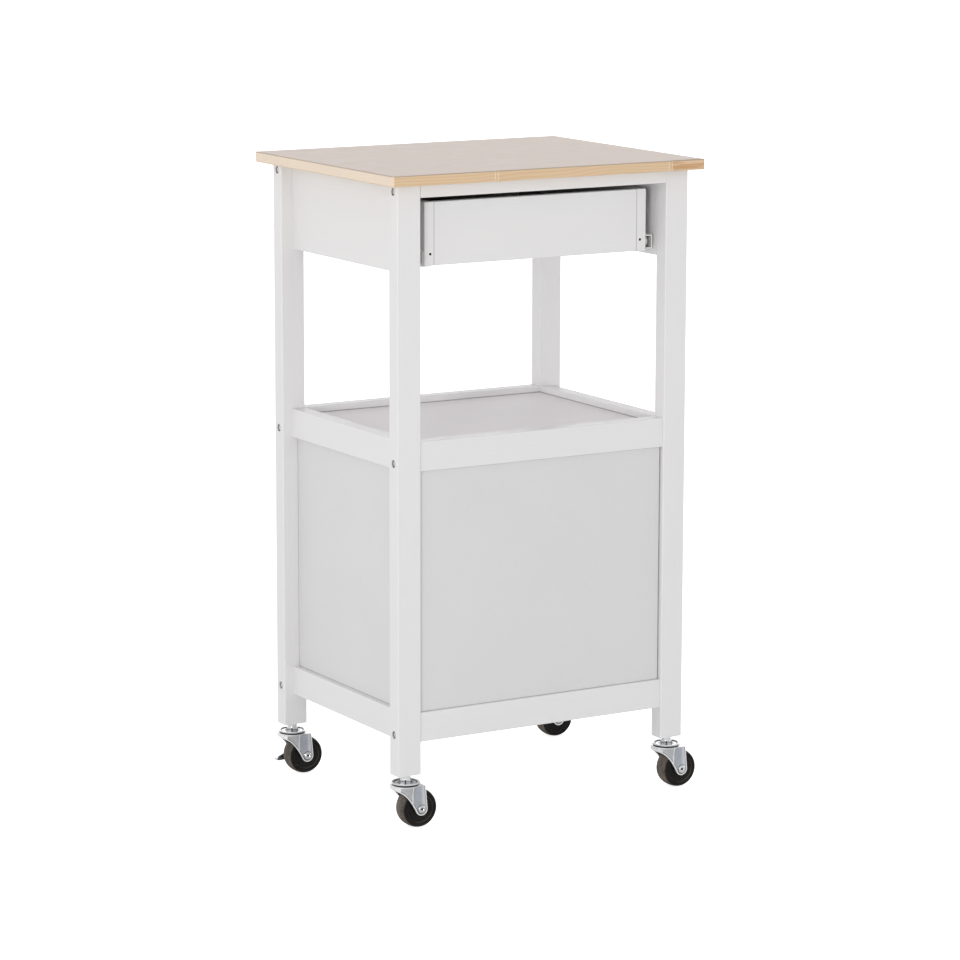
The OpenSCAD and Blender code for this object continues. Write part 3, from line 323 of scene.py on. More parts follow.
def makePaintedWood(name, way, stileEdges=None, joint=None, bore=None, seats=()):
    # White paint that lets the grain show: late wood and fibres press through as faint streaks.
    # At joint, a distance from the middle plane, the paint has cracked into a hairline. A bore
    # along Y is painted near-black inside, as painted shade in the bare hole, for y under its
    # mouth; its place is the distance from the middle plane and the height. A dark painted shade
    # line runs on inward faces just above each of the seats, the heights of let-in boards.
    material, tree, shader, spot = newMaterial(name, paint["roughness"])
    turned = alongGrain(tree, spot, way)
    if stileEdges:  # upright grain in the stiles, level grain between them
        along = split(tree, spot)[0]
        inside = calc(tree, "MULTIPLY", calc(tree, "GREATER_THAN", along, stileEdges[0]),
                      calc(tree, "LESS_THAN", along, stileEdges[1]))
        chosen = put(tree, "Mix", data_type="VECTOR")
        feed(tree, chosen.inputs[0], inside)
        feed(tree, chosen.inputs[4], alongGrain(tree, spot, "z"))
        feed(tree, chosen.inputs[5], alongGrain(tree, spot, "x"))
        turned = chosen.outputs[1]
    grain = place(tree, boardGrain, Vector=turned, Seed=3.0, Gap=paint["gap"])
    film = place(tree, paintFilm, Vector=spot)
    streak = calc(tree, "MULTIPLY_ADD", grain["Fibres"], 0.5, calc(tree, "MULTIPLY", grain["Rings"], 0.10))
    streak = calc(tree, "MULTIPLY_ADD", grain["Cloud"], 0.45, streak)
    streak = calc(tree, "MULTIPLY_ADD", film["Tone"], 0.25, streak)
    colour = blend(tree, ramp(tree, streak, 0.35, 0.95), paint["light"], paint["dark"])
    x, y, z = split(tree, spot)
    if joint:
        away = apart(tree, calc(tree, "ABSOLUTE", x), joint)
        colour = blend(tree, ramp(tree, away, *paint["hairline"], 0.8, 0.0), colour, paint["line"])
    # Painted shade: the inside of the bore is near-black
    if bore:
        near = nearAxis(tree, calc(tree, "ABSOLUTE", x), z, bore["place"], bore["reach"])
        inside = calc(tree, "MULTIPLY", near, calc(tree, "LESS_THAN", y, bore["mouth"]))
        colour = blend(tree, inside, colour, paint["bare"])
    for seat in seats:
        # Painted shade: a dark line on inward faces just above a let-in board
        normal = facing(tree)
        inward = calc(tree, "MINIMUM", calc(tree, "MULTIPLY", calc(tree, "SIGN", x), normal[0]),
                      calc(tree, "MULTIPLY", calc(tree, "SIGN", y), normal[1]))
        above = ramp(tree, apart(tree, z, seat), *paint["seatShadeLine"], 0.8, 0.0)
        line = calc(tree, "MULTIPLY", calc(tree, "LESS_THAN", inward, -0.5), above)
        colour = blend(tree, line, colour, paint["line"])
    feed(tree, shader.inputs["Base Color"], colour)
    feed(tree, shader.inputs["Roughness"],
         calc(tree, "MULTIPLY_ADD", film["Sheen"], 0.16, paint["roughness"] - 0.08))
    height = calc(tree, "MULTIPLY_ADD", grain["Fibres"], 0.5, calc(tree, "MULTIPLY", film["Peel"], 0.5))
    addBump(tree, shader, calc(tree, "MULTIPLY_ADD", grain["Rings"], -0.2, height), 0.14, 0.00014)
    return material


def makePaintedPanel(name, light, dark, roughness):
    # Smooth board in the same paint with roller stipple. A dark painted shade line runs where it enters the
    # rails: the least distance from the opening's planes gives it.
    material, tree, shader, spot = newMaterial(name, roughness)
    film = place(tree, paintFilm, Vector=spot)
    fine = noise(tree, spot, 2.0, 0.6, 240.0)
    tone = calc(tree, "MULTIPLY_ADD", fine, 0.35, calc(tree, "MULTIPLY", film["Tone"], 0.55))
    x, y, z = split(tree, spot)
    least = apart(tree, calc(tree, "ABSOLUTE", x), opening["side"])
    for part, planes in ((y, opening["depths"]), (z, opening["heights"])):
        for plane in planes:
            least = calc(tree, "MINIMUM", least, apart(tree, part, plane))
    colour = blend(tree, ramp(tree, tone, 0.2, 0.8), light, dark)
    # Painted shade line along the edges where the board enters the rails
    colour = blend(tree, ramp(tree, least, *paint["panelShadeLine"], 0.75, 0.0), colour, paint["line"])
    feed(tree, shader.inputs["Base Color"], colour)
    feed(tree, shader.inputs["Roughness"], calc(tree, "MULTIPLY_ADD", film["Sheen"], 0.15, roughness))
    addBump(tree, shader, calc(tree, "MULTIPLY_ADD", fine, 0.4, film["Peel"]), 0.14, 0.00012)
    return material


def makePine():
    # Finger-jointed pine under a clear coat: each block has its own rings and tone
    plan = {"early": (0.83, 0.63, 0.40, 1), "late": (0.66, 0.44, 0.24, 1), "pink": (0.82, 0.62, 0.46, 1),
            "resin": (0.56, 0.27, 0.09, 1), "glue": (0.90, 0.80, 0.66, 1), "seam": (0.52, 0.36, 0.22, 1),
            "end": (0.79, 0.695, 0.60, 1), "upperShade": (0.48, 0.425, 0.45, 1), "rimShade": (0.40, 0.31, 0.25, 1),
            "gap": 0.0041, "streakX": (-0.186, -0.178), "streakY": (0.165, 0.185), "streakTone": (0.47, 0.57)}
    material, tree, shader, spot = newMaterial("pineTop", 0.42)
    shader.inputs["Specular IOR Level"].default_value = 0.35
    shader.inputs["Coat Weight"].default_value = 0.03
    shader.inputs["Coat Roughness"].default_value = 0.2
    glued = place(tree, gluedTop, Vector=spot)
    grain = place(tree, boardGrain, Vector=glued["Vector"], Seed=glued["Seed"], Gap=plan["gap"])
    random = put(tree, "TexWhiteNoise", noise_dimensions="1D")
    feed(tree, random.inputs["W"], calc(tree, "ADD", glued["Seed"], 0.5))
    chance = split(tree, random.outputs["Color"])
    warm = blend(tree, calc(tree, "MULTIPLY", chance[0], 0.6), plan["early"], plan["pink"])
    figure = calc(tree, "MULTIPLY", grain["Rings"], calc(tree, "MULTIPLY_ADD", chance[1], 0.35, 0.3))
    figure = calc(tree, "MULTIPLY_ADD", grain["Fibres"], 0.18, figure)
    figure = calc(tree, "MULTIPLY_ADD", ramp(tree, grain["Cloud"], 0.5, 0.75), 0.12, figure)
    wood = blend(tree, figure, warm, plan["late"])
    # Resin streak in the block at the far rear corner
    x, y = split(tree, spot)[:2]
    streak = noise(tree, scaled(tree, spot, (14.0, 60.0, 420.0)), 2.0, 0.6)
    patch = calc(tree, "MULTIPLY", ramp(tree, x, *plan["streakX"], 1.0, 0.0), ramp(tree, y, *plan["streakY"]))
    patch = calc(tree, "MULTIPLY", patch, ramp(tree, streak, *plan["streakTone"]))
    wood = blend(tree, calc(tree, "MULTIPLY", patch, 0.85), wood, plan["resin"])
    wood = blend(tree, calc(tree, "MULTIPLY", glued["Seam"], 0.35), wood, plan["seam"])
    wood = blend(tree, calc(tree, "MULTIPLY", glued["Finger"], 0.5), wood, plan["glue"])
    # End grain is paler; the upper face gets a greyish painted shade that ends in a
    # darker painted shade line on the rounded rim
    normal = facing(tree)
    ends = ramp(tree, calc(tree, "ABSOLUTE", normal[0]), 0.7, 0.9)
    wood = blend(tree, calc(tree, "MULTIPLY", ends, 0.7), wood, plan["end"])
    upper = ramp(tree, normal[2], 0.9, 0.99)
    wood = blend(tree, calc(tree, "MULTIPLY", upper, 0.62), wood, plan["upperShade"])
    rimShade = calc(tree, "MULTIPLY", ramp(tree, normal[2], 0.3, 0.6),
               ramp(tree, normal[2], 0.9, 0.99, 1.0, 0.0))
    wood = blend(tree, calc(tree, "MULTIPLY", rimShade, 0.85), wood, plan["rimShade"])
    feed(tree, shader.inputs["Base Color"], wood)
    feed(tree, shader.inputs["Roughness"], calc(tree, "MULTIPLY_ADD", grain["Fibres"], 0.2, 0.32))
    addBump(tree, shader, calc(tree, "MULTIPLY_ADD", grain["Rings"], -0.5, grain["Fibres"]), 0.25, 0.00015)
    return material


def makeBeech():
    material, tree, shader, spot = newMaterial("beechDowel", 0.6)
    grain = place(tree, boardGrain, Vector=spot, Seed=8.0, Gap=0.003)
    feed(tree, shader.inputs["Base Color"],
         blend(tree, grain["Fibres"], (0.66, 0.47, 0.29, 1), (0.5, 0.33, 0.19, 1)))
    addBump(tree, shader, grain["Fibres"], 0.4, 0.0002)
    return material


def platingTone(tree, coat, share):
    # The plating's lines, with the given share, and its clouds as one factor
    tone = calc(tree, "MULTIPLY_ADD", coat["Lines"], share,
                calc(tree, "MULTIPLY", coat["Cloud"], 1.0 - share))
    return ramp(tree, tone, 0.3, 0.72)


def makeMetal(name, light, dark, roughness, spread, lines=0.3, tint=None, shadeRims=None):
    # Bright metal whose clouds of stain and fine lines change tone and gloss; the last argument names the
    # bolts along X whose heads get a painted shade ring at their outer edge, in the counterbore
    material, tree, shader, spot = newMaterial(name, roughness, 1.0)
    coat = place(tree, plating, Vector=spot)
    colour = blend(tree, platingTone(tree, coat, lines), light, dark)
    if tint:
        colour = blend(tree, calc(tree, "MULTIPLY", ramp(tree, coat["Cloud"], 0.52, 0.7), 0.5), colour, tint)
    colour = blend(tree, calc(tree, "MULTIPLY", coat["Specks"], 0.4), colour, (0.3, 0.3, 0.3, 1))
    if shadeRims:
        y, z = split(tree, spot)[1:]
        across = calc(tree, "SUBTRACT", apart(tree, y, shadeRims["middle"]), shadeRims["half"])
        low, level, high = (apart(tree, z, up) for up in shadeRims["ups"])
        up = calc(tree, "MINIMUM", calc(tree, "MINIMUM", low, level), high)
        # Painted shade: a dark ring round each bolt head's outer edge
        ring = ramp(tree, radius(tree, across, up), *shadeRims["ring"])
        colour = blend(tree, calc(tree, "MULTIPLY", ring, 0.9), colour, shadeRims["headShade"])
        feed(tree, shader.inputs["Metallic"], calc(tree, "MULTIPLY_ADD", ring, 0.6, 0.4))
    feed(tree, shader.inputs["Base Color"], colour)
    gloss = calc(tree, "MULTIPLY_ADD", coat["Lines"], spread * 0.5,
                 calc(tree, "MULTIPLY", coat["Cloud"], spread))
    feed(tree, shader.inputs["Roughness"], calc(tree, "ADD", gloss, roughness - spread * 0.75))
    addBump(tree, shader, calc(tree, "MULTIPLY_ADD", coat["Cloud"], 0.5, coat["Lines"]), 0.12, 0.0002)
    return material


def fromSwivel(tree, spot):
    # Distances in mm from the nearest castor's swivel axis, along X and Y, and the height in mm
    x, y, z = split(tree, spot)
    axis = calc(tree, "MULTIPLY", calc(tree, "SIGN", x), castor["side"])
    depth = ramp(tree, y, -0.001, 0.001, castor["front"], castor["rear"])
    return [calc(tree, "MULTIPLY", part, 1000.0) for part in
            (calc(tree, "SUBTRACT", x, axis), calc(tree, "SUBTRACT", y, depth), z)]


def makeFork():
    # Pressed sheet with painted highlights on its front bend, rounded edges and flat face. In mm, the front
    # edge is z = top - drop t - sweep t^2 with t = (nose - x) / run, and the perpendicular distance from it
    # is the height over it divided by sqrt(1 + slope^2); the rear edge leans by lean, and the lower
    # end is a circle. Painted shade darkens the crease, round the rivet and under the race.
    plan = {"nose": 19.0, "run": 27.7, "top": 52.5, "drop": 7.0, "sweep": 23.3, "rear": 27.0, "lean": -0.093,
            "end": 8.5, "rise": 2.0, "bend": -2.6, "bendLine": (0.6, 1.3), "edge": (0.9, 1.5),
            "crease": (1.3, 1.7, 1.8, 2.6), "rivet": (6.0, 6.5), "groove": (-1.0, -0.6),
            "rearHighlightSpan": (-14.0, -18.0), "frontHighlightSpan": (-4.0, -2.0),
            "light": (0.56, 0.59, 0.64, 1), "dark": (0.42, 0.44, 0.49, 1), "rearHighlight": (0.80, 0.80, 0.86, 1),
            "frontHighlight": (0.70, 0.70, 0.68, 1), "creaseShade": (0.09, 0.09, 0.10, 1),
            "bendHighlight": (0.95, 0.95, 0.95, 1), "edgeHighlight": (0.97, 0.97, 0.97, 1),
            "rivetShade": (0.06, 0.06, 0.065, 1)}
    material, tree, shader, spot = newMaterial("forkSheet", 0.3, 1.0)
    coat = place(tree, plating, Vector=spot)
    x, z = fromSwivel(tree, spot)[::2]
    t = calc(tree, "DIVIDE", calc(tree, "SUBTRACT", plan["nose"], x), plan["run"])
    over = calc(tree, "MULTIPLY_ADD", calc(tree, "MULTIPLY_ADD", t, plan["sweep"], plan["drop"]), t,
                calc(tree, "SUBTRACT", z, plan["top"]))
    slope = calc(tree, "MULTIPLY_ADD", t, 2 * plan["sweep"] / plan["run"], plan["drop"] / plan["run"])
    front = calc(tree, "DIVIDE", over, calc(tree, "SQRT", calc(tree, "MULTIPLY_ADD", slope, slope, 1.0)))
    rear = calc(tree, "MULTIPLY_ADD", z, plan["lean"], calc(tree, "ADD", x, plan["rear"] + castor["shift"]))
    below = calc(tree, "SUBTRACT", z, castor["axle"])
    far = radius(tree, calc(tree, "SUBTRACT", x, castor["trail"]), below)
    end = calc(tree, "MAXIMUM", calc(tree, "SUBTRACT", plan["end"], far),
               calc(tree, "ADD", below, plan["rise"]))
    inside = calc(tree, "MINIMUM", calc(tree, "MINIMUM", front, rear), end)
    face = ramp(tree, calc(tree, "ABSOLUTE", facing(tree)[1]), 0.6, 0.8)
    edge = calc(tree, "MAXIMUM", ramp(tree, inside, *plan["edge"], 1.0, 0.0),
                calc(tree, "SUBTRACT", 1.0, face))
    bend = ramp(tree, apart(tree, x, plan["bend"]), *plan["bendLine"], 0.8, 0.0)
    crease = calc(tree, "MULTIPLY", ramp(tree, inside, *plan["crease"][:2]),
                  ramp(tree, inside, *plan["crease"][2:], 1.0, 0.0))
    rivet = ramp(tree, far, *plan["rivet"], 1.0, 0.0)
    groove = ramp(tree, z, *(castor["race"] + step for step in plan["groove"]))
    colour = blend(tree, platingTone(tree, coat, 0.5), plan["light"], plan["dark"])
    # Painted highlights at the rear and front of the flat face, on the bend and on the edges; painted shade
    # in the crease, round the rivet and in the groove under the race
    for mask, tone in ((ramp(tree, x, *plan["rearHighlightSpan"], 0.0, 0.75), plan["rearHighlight"]),
                       (ramp(tree, x, *plan["frontHighlightSpan"], 0.0, 0.55), plan["frontHighlight"]),
                       (calc(tree, "MULTIPLY", crease, 0.7), plan["creaseShade"]),
                       (bend, plan["bendHighlight"]),
                       (edge, plan["edgeHighlight"]),
                       (calc(tree, "MULTIPLY", rivet, 0.8), plan["rivetShade"]),
                       (calc(tree, "MULTIPLY", groove, 0.9), castor["castorShade"])):
        colour = blend(tree, mask, colour, tone)
    feed(tree, shader.inputs["Base Color"], colour)
    feed(tree, shader.inputs["Metallic"], calc(tree, "MULTIPLY_ADD", edge, -0.45, 1.0))
    feed(tree, shader.inputs["Roughness"], calc(tree, "MULTIPLY_ADD", coat["Cloud"], 0.16, 0.22))
    addBump(tree, shader, calc(tree, "MULTIPLY_ADD", coat["Cloud"], 0.5, coat["Lines"]), 0.12, 0.0002)
    return material


def makeHead():
    # Bright plating; painted shade darkens the pressed rings of the dish and the gap under it. In mm,
    # dish and hub are the rings' radii, and upper and under are heights over the fork's own race.
    plan = {"dish": 15.2, "dishLine": (0.9, 1.4), "hub": 9.6, "hubLine": (0.8, 1.3), "upper": 1.0,
            "under": (1.5, 1.9), "light": (0.90, 0.91, 0.92, 1), "dark": (0.74, 0.75, 0.77, 1)}
    material, tree, shader, spot = newMaterial("headPlating", 0.2, 1.0)
    coat = place(tree, plating, Vector=spot)
    x, y, z = fromSwivel(tree, spot)
    far = radius(tree, x, y)
    ring = calc(tree, "MAXIMUM", ramp(tree, apart(tree, far, plan["dish"]), *plan["dishLine"], 1.0, 0.0),
                ramp(tree, apart(tree, far, plan["hub"]), *plan["hubLine"], 1.0, 0.0))
    upper = calc(tree, "GREATER_THAN", z, castor["race"] + plan["upper"])
    under = ramp(tree, z, *(castor["race"] + step for step in plan["under"]), 1.0, 0.0)
    dark = calc(tree, "MAXIMUM", calc(tree, "MULTIPLY", ring, upper), under)
    colour = blend(tree, platingTone(tree, coat, 0.4), plan["light"], plan["dark"])
    colour = blend(tree, calc(tree, "MULTIPLY", dark, 0.88), colour, castor["castorShade"])
    feed(tree, shader.inputs["Base Color"], colour)
    feed(tree, shader.inputs["Metallic"], calc(tree, "MULTIPLY_ADD", dark, 0.2, 0.8))
    feed(tree, shader.inputs["Roughness"], calc(tree, "MULTIPLY_ADD", coat["Cloud"], 0.12, 0.12))
    addBump(tree, shader, coat["Cloud"], 0.1, 0.0002)
    return material


def makeRunner(name, rivet):
    # White powder coat with its orange peel; the roller's rivet is left bright, and the faces
    # that look towards the drawer get a dark painted shade
    material, tree, shader, spot = newMaterial(name, 0.34)
    film = place(tree, paintFilm, Vector=spot)
    x, y, z = split(tree, spot)
    bare = nearAxis(tree, y, z, rivet, rivetHead)
    white = blend(tree, ramp(tree, film["Tone"], 0.35, 0.7), (0.84, 0.84, 0.83, 1), (0.77, 0.77, 0.76, 1))
    # Painted shade on the inward faces of the channel
    inward = calc(tree, "MULTIPLY", calc(tree, "SIGN", x), facing(tree)[0])
    white = blend(tree, ramp(tree, inward, -0.8, -0.5, 0.6, 0.0), white, (0.18, 0.175, 0.17, 1))
    feed(tree, shader.inputs["Base Color"], blend(tree, bare, white, (0.55, 0.55, 0.56, 1)))
    feed(tree, shader.inputs["Metallic"], bare)
    feed(tree, shader.inputs["Roughness"], calc(tree, "MULTIPLY_ADD", film["Sheen"], 0.14, 0.27))
    addBump(tree, shader, film["Peel"], 0.25, 0.00015)
    return material


def makeNylon():
    material, tree, shader, spot = newMaterial("whiteNylon", 0.42)
    shader.inputs["Subsurface Weight"].default_value = 0.12
    shader.inputs["Subsurface Radius"].default_value = (0.003, 0.003, 0.003)
    film = place(tree, paintFilm, Vector=spot)
    feed(tree, shader.inputs["Base Color"],
         blend(tree, ramp(tree, film["Sheen"], 0.35, 0.7), (0.82, 0.82, 0.79, 1), (0.72, 0.72, 0.68, 1)))
    feed(tree, shader.inputs["Roughness"], calc(tree, "MULTIPLY_ADD", film["Peel"], 0.12, 0.36))
    addBump(tree, shader, film["Peel"], 0.12, 0.0001)
    return material


def makeTread():
    # Black rubber with moulding grain; the rolling surface is scuffed to a brownish grey. A normal
    # across the axle, which lies along Y, marks that surface.
    material, tree, shader, spot = newMaterial("rubberTread", 0.5)
    shader.inputs["Specular IOR Level"].default_value = 0.12
    film = place(tree, paintFilm, Vector=spot)
    rolling = ramp(tree, calc(tree, "ABSOLUTE", facing(tree)[1]), 0.25, 0.75, 1.0, 0.0)
    dust = calc(tree, "MULTIPLY_ADD", film["Sheen"], 0.7, calc(tree, "MULTIPLY", film["Peel"], 0.5))
    dust = ramp(tree, dust, 0.45, 0.75)
    base = blend(tree, film["Tone"], (0.004, 0.004, 0.004, 1), (0.011, 0.010, 0.010, 1))
    scuffed = blend(tree, dust, (0.075, 0.062, 0.052, 1), (0.24, 0.205, 0.175, 1))
    colour = blend(tree, calc(tree, "MULTIPLY", dust, 0.05), base, scuffed)
    colour = blend(tree, calc(tree, "MULTIPLY", rolling, 0.7), colour, scuffed)
    feed(tree, shader.inputs["Base Color"], colour)
    feed(tree, shader.inputs["Roughness"],
         calc(tree, "MULTIPLY_ADD", dust, 0.2, calc(tree, "MULTIPLY_ADD", rolling, 0.2, 0.3)))
    addBump(tree, shader, calc(tree, "MULTIPLY_ADD", film["Peel"], 0.6, film["Sheen"]), 0.25, 0.0003)
    return material


def middle(node):
    low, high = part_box(node)
    return (low + high) / 2


# Swivel axes in m; the rest of the castor in mm, with the trail along X from the axis. The fork's
# rear edge is placed for a trail of -16 mm, and shift is how far the CAD's trail differs.
rearLeg, frontLeg, rearAxle = map(middle, ("leg_rear_right", "leg_front_right", "axle_rear_right"))
# Its dark tone is the painted shade of the castor's grooves, pressed rings and gaps
castor = {"side": rearLeg.x, "rear": rearLeg.y, "front": frontLeg.y,
          "trail": (rearAxle.x - rearLeg.x) * 1000, "axle": rearAxle.z * 1000,
          "race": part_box("fork_rear_right")[1].z * 1000, "castorShade": (0.05, 0.05, 0.055, 1)}
castor["shift"] = -16.0 - castor["trail"]
rivetHead = 0.0034
rearRoller = middle("drawer_rollers")
frontRoller = middle("cabinet_rollers")
doorLow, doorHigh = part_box("door_frame")
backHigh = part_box("drawer_back")[1]
sideLow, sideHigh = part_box("drawer_side_right")
boltLow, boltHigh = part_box("frame_bolts")
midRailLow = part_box("mid_rail_rear")[0].z
headRadius = 0.005
midBoltUp = 0.012
stile = 0.045
# Where the painted shade rings of the bolt heads lie, and their dark tone
boltShadeRims = {"middle": (boltLow.y + boltHigh.y) / 2, "half": (boltHigh.y - boltLow.y) / 2 - headRadius,
            "ups": (boltLow.z + headRadius, midRailLow + midBoltUp, boltHigh.z - headRadius),
            "ring": (0.0030, 0.0037), "headShade": (0.05, 0.05, 0.05, 1)}
endBore = {"place": (sideHigh.x - 0.0085, sideLow.z + 0.015), "reach": 0.0019,
           "mouth": backHigh.y - 0.0002}
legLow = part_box("leg_rear_right")[0]
opening = {"side": legLow.x, "depths": (legLow.y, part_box("leg_front_right")[1].y),
           "heights": (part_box("bottom_rail_rear")[1].z, midRailLow)}
seats = (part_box("tray_panel")[1].z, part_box("cabinet_floor")[1].z)

whiteUpright = makePaintedWood("paintUpright", "z")
whiteLevel = makePaintedWood("paintLevel", "x", seats=seats)
whiteDeep = makePaintedWood("paintDeep", "y", seats=seats)
drawerLevel = makePaintedWood("paintDrawerLevel", "x", joint=backHigh.x)
drawerDeep = makePaintedWood("paintDrawerDeep", "y", joint=backHigh.x, bore=endBore)
whiteDoor = makePaintedWood("paintDoor", "z", (doorLow.x + stile, doorHigh.x - stile))
panelWhite = makePaintedPanel("paintedPanel", (0.69, 0.684, 0.688, 1), (0.66, 0.654, 0.658, 1), 0.38)
trayWhite = makePaintedPanel("paintedTray", (0.86, 0.83, 0.84, 1), (0.83, 0.80, 0.81, 1), 0.55)
pineTop = makePine()
beech = makeBeech()
steelTones = ((0.66, 0.66, 0.65, 1), (0.48, 0.48, 0.48, 1))
boltSteel = makeMetal("boltSteel", *steelTones, 0.42, 0.2, shadeRims=boltShadeRims)
screwSteel = makeMetal("screwSteel", *steelTones, 0.3, 0.16)
forkSheet = makeFork()
headPlating = makeHead()
brightZinc = makeMetal("brightZinc", (0.86, 0.87, 0.88, 1), (0.66, 0.67, 0.69, 1), 0.17, 0.1, lines=0.4)
knobMetal = makeMetal("knobMetal", (0.68, 0.67, 0.65, 1), (0.55, 0.54, 0.52, 1), 0.3, 0.12, lines=0.7)
zincPlate = makeMetal("zincPlate", (0.68, 0.70, 0.73, 1), (0.48, 0.50, 0.54, 1), 0.28, 0.16, lines=0.4,
                      tint=(0.62, 0.60, 0.52, 1))
fixedRunner = makeRunner("fixedRunner", (frontRoller.y, frontRoller.z))
drawerRunner = makeRunner("drawerRunner", (rearRoller.y, rearRoller.z))
whiteNylon = makeNylon()
rubberTread = makeTread()

finishes = {
    "paintUpright": (whiteUpright, "leg_front_left leg_front_right leg_rear_left leg_rear_right"),
    "paintLevel": (whiteLevel, "top_rail_front top_rail_rear mid_rail_front mid_rail_rear bottom_rail_front"
                               " bottom_rail_rear drawer_front"),
    "paintDeep": (whiteDeep, "apron_left apron_right mid_rail_left mid_rail_right bottom_rail_left"
                             " bottom_rail_right slide_spacers"),
    "drawerLevel": (drawerLevel, "drawer_back"),
    "drawerDeep": (drawerDeep, "drawer_side_left drawer_side_right"),
    "paintDoor": (whiteDoor, "door_frame"),
    "panel": (panelWhite, "side_panel_left side_panel_right rear_panel drawer_bottom door_panel"),
    "tray": (trayWhite, "tray_panel cabinet_floor"),
    "pine": (pineTop, "tabletop"),
    "beech": (beech, "dowels"),
    "bolts": (boltSteel, "frame_bolts"),
    "steel": (screwSteel, "barrel_nuts tabletop_screws catch_strike"),
    "knob": (knobMetal, "drawer_knob door_knob"),
    "fixedRunner": (fixedRunner, "cabinet_slides"),
    "drawerRunner": (drawerRunner, "drawer_slides"),
    "nylon": (whiteNylon, "cabinet_rollers drawer_rollers magnetic_catch"),
    "zinc": (zincPlate, "hinge_frame_leaves hinge_door_leaves hinge_pins"
                        " brake_lever_front_left brake_lever_front_right"),
    "fork": (forkSheet, "fork_front_left fork_front_right fork_rear_left fork_rear_right"),
    "head": (headPlating, "castor_heads"),
    "brightZinc": (brightZinc, "axle_front_left axle_front_right axle_rear_left axle_rear_right"),
    "tread": (rubberTread, "wheel_front_left wheel_front_right wheel_rear_left wheel_rear_right"),
}
for material, names in finishes.values():
    for name in names.split():
        for held in nodes[name].material_slots:
            held.material = material
print("materials: %d finishes" % len(finishes))


screw = {"rings": 14, "steps": 48, "core": 0.02, "turn": 0.3, "slot": 0.11, "slotWall": 0.05,
         "reach": 0.62, "endWall": 0.08, "deep": 0.0006, "rise": 0.00012, "dip": -0.0001}


def makeScrews(name, spots, outward, size, body):
    # Countersunk heads round each spot: with q from 0 to 1 out from the middle, the height over the
    # face is rise (1 - q^2) less a cross that is sunk by deep where |u| or |v| is under slot, for q
    # under reach, with walls of some width. The last ring dips under the face.
    q = np.append(np.linspace(screw["core"], 1.0, screw["rings"]), 1.0)[:, None]
    turn = np.linspace(0.0, 2 * np.pi, screw["steps"], endpoint=False)[None, :] + screw["turn"]
    u, v = q * np.cos(turn), q * np.sin(turn)
    thin = np.minimum(np.abs(u), np.abs(v))
    cross = (np.clip((screw["slot"] - thin) / screw["slotWall"], 0, 1)
             * np.clip((screw["reach"] - q) / screw["endWall"], 0, 1))
    high = screw["rise"] * (1 - q ** 2) - screw["deep"] * cross
    high[-1] = screw["dip"]
    outward = np.array(outward, float)
    side = np.cross(outward, (0.0, 0.0, 1.0))
    up = np.cross(outward, side)
    head = size * (u[..., None] * side + v[..., None] * up) + high[..., None] * outward
    stack = np.array(spots, float)[:, None, None, :] + head[None]
    index = np.arange(stack[..., 0].size).reshape(stack.shape[:3])
    after = np.roll(index, -1, axis=2)
    quads = np.stack([index[:, :-1], index[:, 1:], after[:, 1:], after[:, :-1]], axis=-1).reshape(-1, 4)
    mesh = bpy.data.meshes.new(name)
    mesh.from_pydata(stack.reshape(-1, 3).tolist(), [], quads.tolist() + index[:, 0].tolist())
    mesh.materials.append(screwSteel)
    made = link(name, mesh)
    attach(made, body)


hinge = {"tall": 0.05, "gap": 0.0006, "screws": ((0.16, 0.0048), (0.5, 0.0092), (0.84, 0.0048))}


def hingeSpots(node, face):
    # Three screws in each of the node's two leaves, each at a share of the leaf's height and a
    # distance from its rear edge
    low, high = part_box(node)
    return [(face, high.y - inset, base + share * hinge["tall"])
            for base in (low.z, high.z - hinge["tall"]) for share, inset in hinge["screws"]]


pinX = middle("hinge_pins").x
catchLow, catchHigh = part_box("magnetic_catch")
strikeLow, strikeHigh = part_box("catch_strike")
channelZ, channelX = middle("cabinet_slides").z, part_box("cabinet_slides")[1].x
runner = {"sheet": 0.0012, "channelYs": (-0.1, 0.01, 0.105), "slideYs": (-0.13, -0.02, 0.08),
          "slideUp": 0.007}
catchInset, strikeInset = 0.006, 0.0055
headSize = {"hinge": 0.0029, "catch": 0.0026, "strike": 0.0024, "runner": 0.0027}
makeScrews("frameLeafScrews", hingeSpots("hinge_frame_leaves", pinX - hinge["gap"] / 2), (1, 0, 0),
           headSize["hinge"], "frame")
makeScrews("doorLeafScrews", hingeSpots("hinge_door_leaves", pinX + hinge["gap"] / 2), (-1, 0, 0),
           headSize["hinge"], "door")
makeScrews("catchScrews", [(x, catchHigh.y, catchHigh.z - catchInset)
                           for x in (catchLow.x + catchInset, catchHigh.x - catchInset)],
           (0, 1, 0), headSize["catch"], "frame")
makeScrews("strikeScrew", [((strikeLow.x + strikeHigh.x) / 2, strikeHigh.y, strikeHigh.z - strikeInset)],
           (0, 1, 0), headSize["strike"], "door")
for word, way in (("Right", 1), ("Left", -1)):
    makeScrews("channelScrews" + word,
               [(way * (channelX - runner["sheet"]), y, channelZ) for y in runner["channelYs"]],
               (-way, 0, 0), headSize["runner"], "frame")
    makeScrews("slideScrews" + word,
               [(way * (sideHigh.x + runner["sheet"]), y, sideLow.z + runner["slideUp"])
                for y in runner["slideYs"]],
               (way, 0, 0), headSize["runner"], "drawer")
print("screws: hinges, catch, strike and runners")

studio = {"floor": 30.0, "floorTone": (0.86, 0.86, 0.86, 1), "floorGlow": 0.75, "aim": (0.0, 0.0, 0.45),
          "sky": 0.69, "backdrop": 1.83, "room": 1.17, "seen": 1.05, "view": (-0.51, -0.86),
          "turn": (-0.35, 0.75), "dome": (0.05, 0.6),
          "keyPlace": (3.7, 3.7, 0.9), "keySize": 1.0, "keyPower": 60.0,
          "sidePlace": (5.0, 0.5, 1.6), "sideSize": 2.4, "sidePower": 4.0}


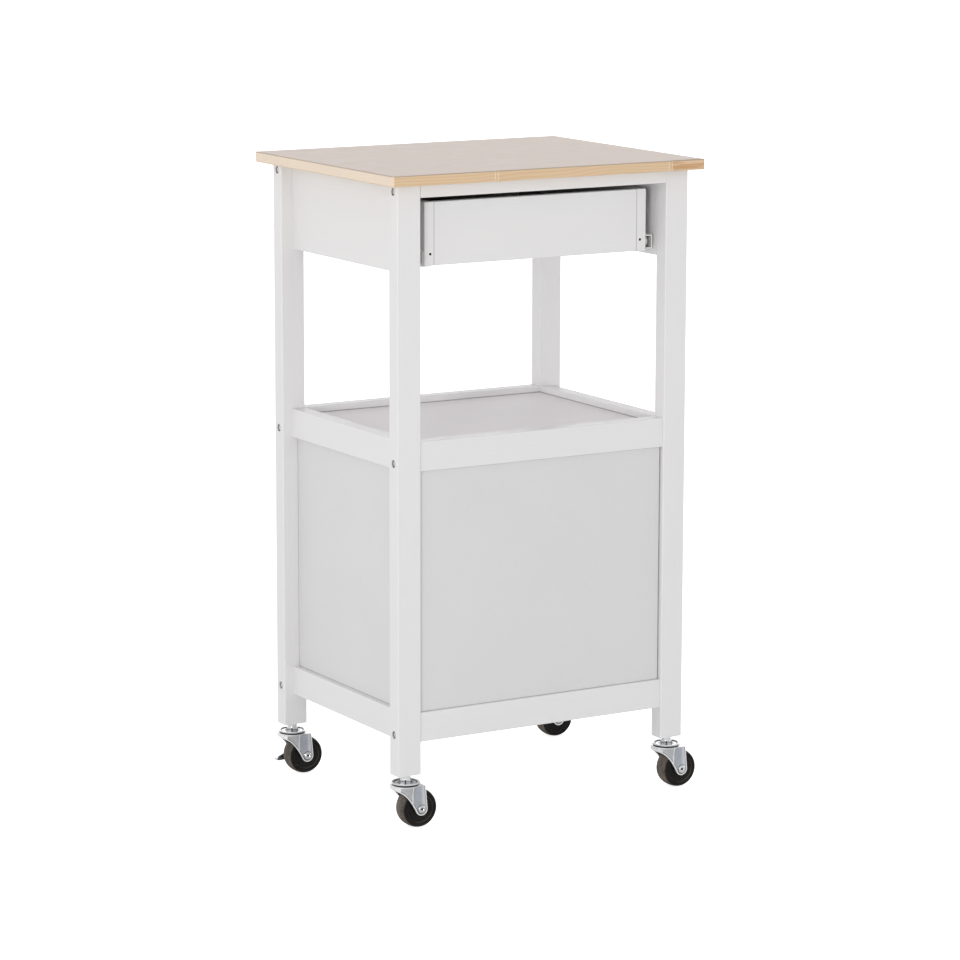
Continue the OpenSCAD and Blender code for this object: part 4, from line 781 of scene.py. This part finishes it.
def makeFloor():
    reach = studio["floor"]
    mesh = bpy.data.meshes.new("studioFloor")
    corners = [(-reach, -reach, 0), (reach, -reach, 0), (reach, reach, 0), (-reach, reach, 0)]
    mesh.from_pydata(corners, [], [(0, 1, 2, 3)])
    floor = link("studioFloor", mesh)
    material, tree, shader = newMaterial("studioFloor", 0.9)[:3]
    shader.inputs["Base Color"].default_value = studio["floorTone"]
    shader.inputs["Emission Color"].default_value = (1, 1, 1, 1)
    feed(tree, shader.inputs["Emission Strength"],
         calc(tree, "MULTIPLY", put(tree, "LightPath").outputs["Is Camera Ray"], studio["floorGlow"]))
    mesh.materials.append(material)


def makeSoftbox(name, spot, size, power):
    data = bpy.data.lights.new(name, "AREA")
    data.shape = "DISK"
    data.size = size
    data.energy = power
    ahead = np.array(studio["aim"]) - np.array(spot)
    aim(link(name, data), spot, ahead / np.linalg.norm(ahead))


def makeSky():
    # A bright backdrop behind the cart, a soft ceiling, and a dim room on the camera's side: the
    # strength follows the height of a direction and how far it points away from the camera
    world = bpy.data.worlds.new("studio")
    bpy.context.scene.world = world
    world.use_nodes = True
    tree = world.node_tree
    back = tree.nodes["Background"]
    x, y, z = split(tree, put(tree, "TexCoord").outputs["Generated"])
    away = calc(tree, "MULTIPLY_ADD", x, studio["view"][0], calc(tree, "MULTIPLY", y, studio["view"][1]))
    low = ramp(tree, away, *studio["turn"], studio["room"], studio["backdrop"])
    rise = ramp(tree, z, *studio["dome"])
    dome = calc(tree, "ADD", calc(tree, "MULTIPLY", low, calc(tree, "SUBTRACT", 1.0, rise)),
                calc(tree, "MULTIPLY", rise, studio["sky"]))
    seen = put(tree, "LightPath").outputs["Is Camera Ray"]
    back.inputs["Color"].default_value = (1, 1, 1, 1)
    feed(tree, back.inputs["Strength"],
         calc(tree, "MAXIMUM", dome, calc(tree, "MULTIPLY", seen, studio["seen"])))


makeFloor()
makeSoftbox("keyLight", studio["keyPlace"], studio["keySize"], studio["keyPower"])
makeSoftbox("sideLight", studio["sidePlace"], studio["sideSize"], studio["sidePower"])
makeSky()
bpy.context.scene.view_settings.view_transform = "Standard"
print("studio: floor, two softboxes, sky")
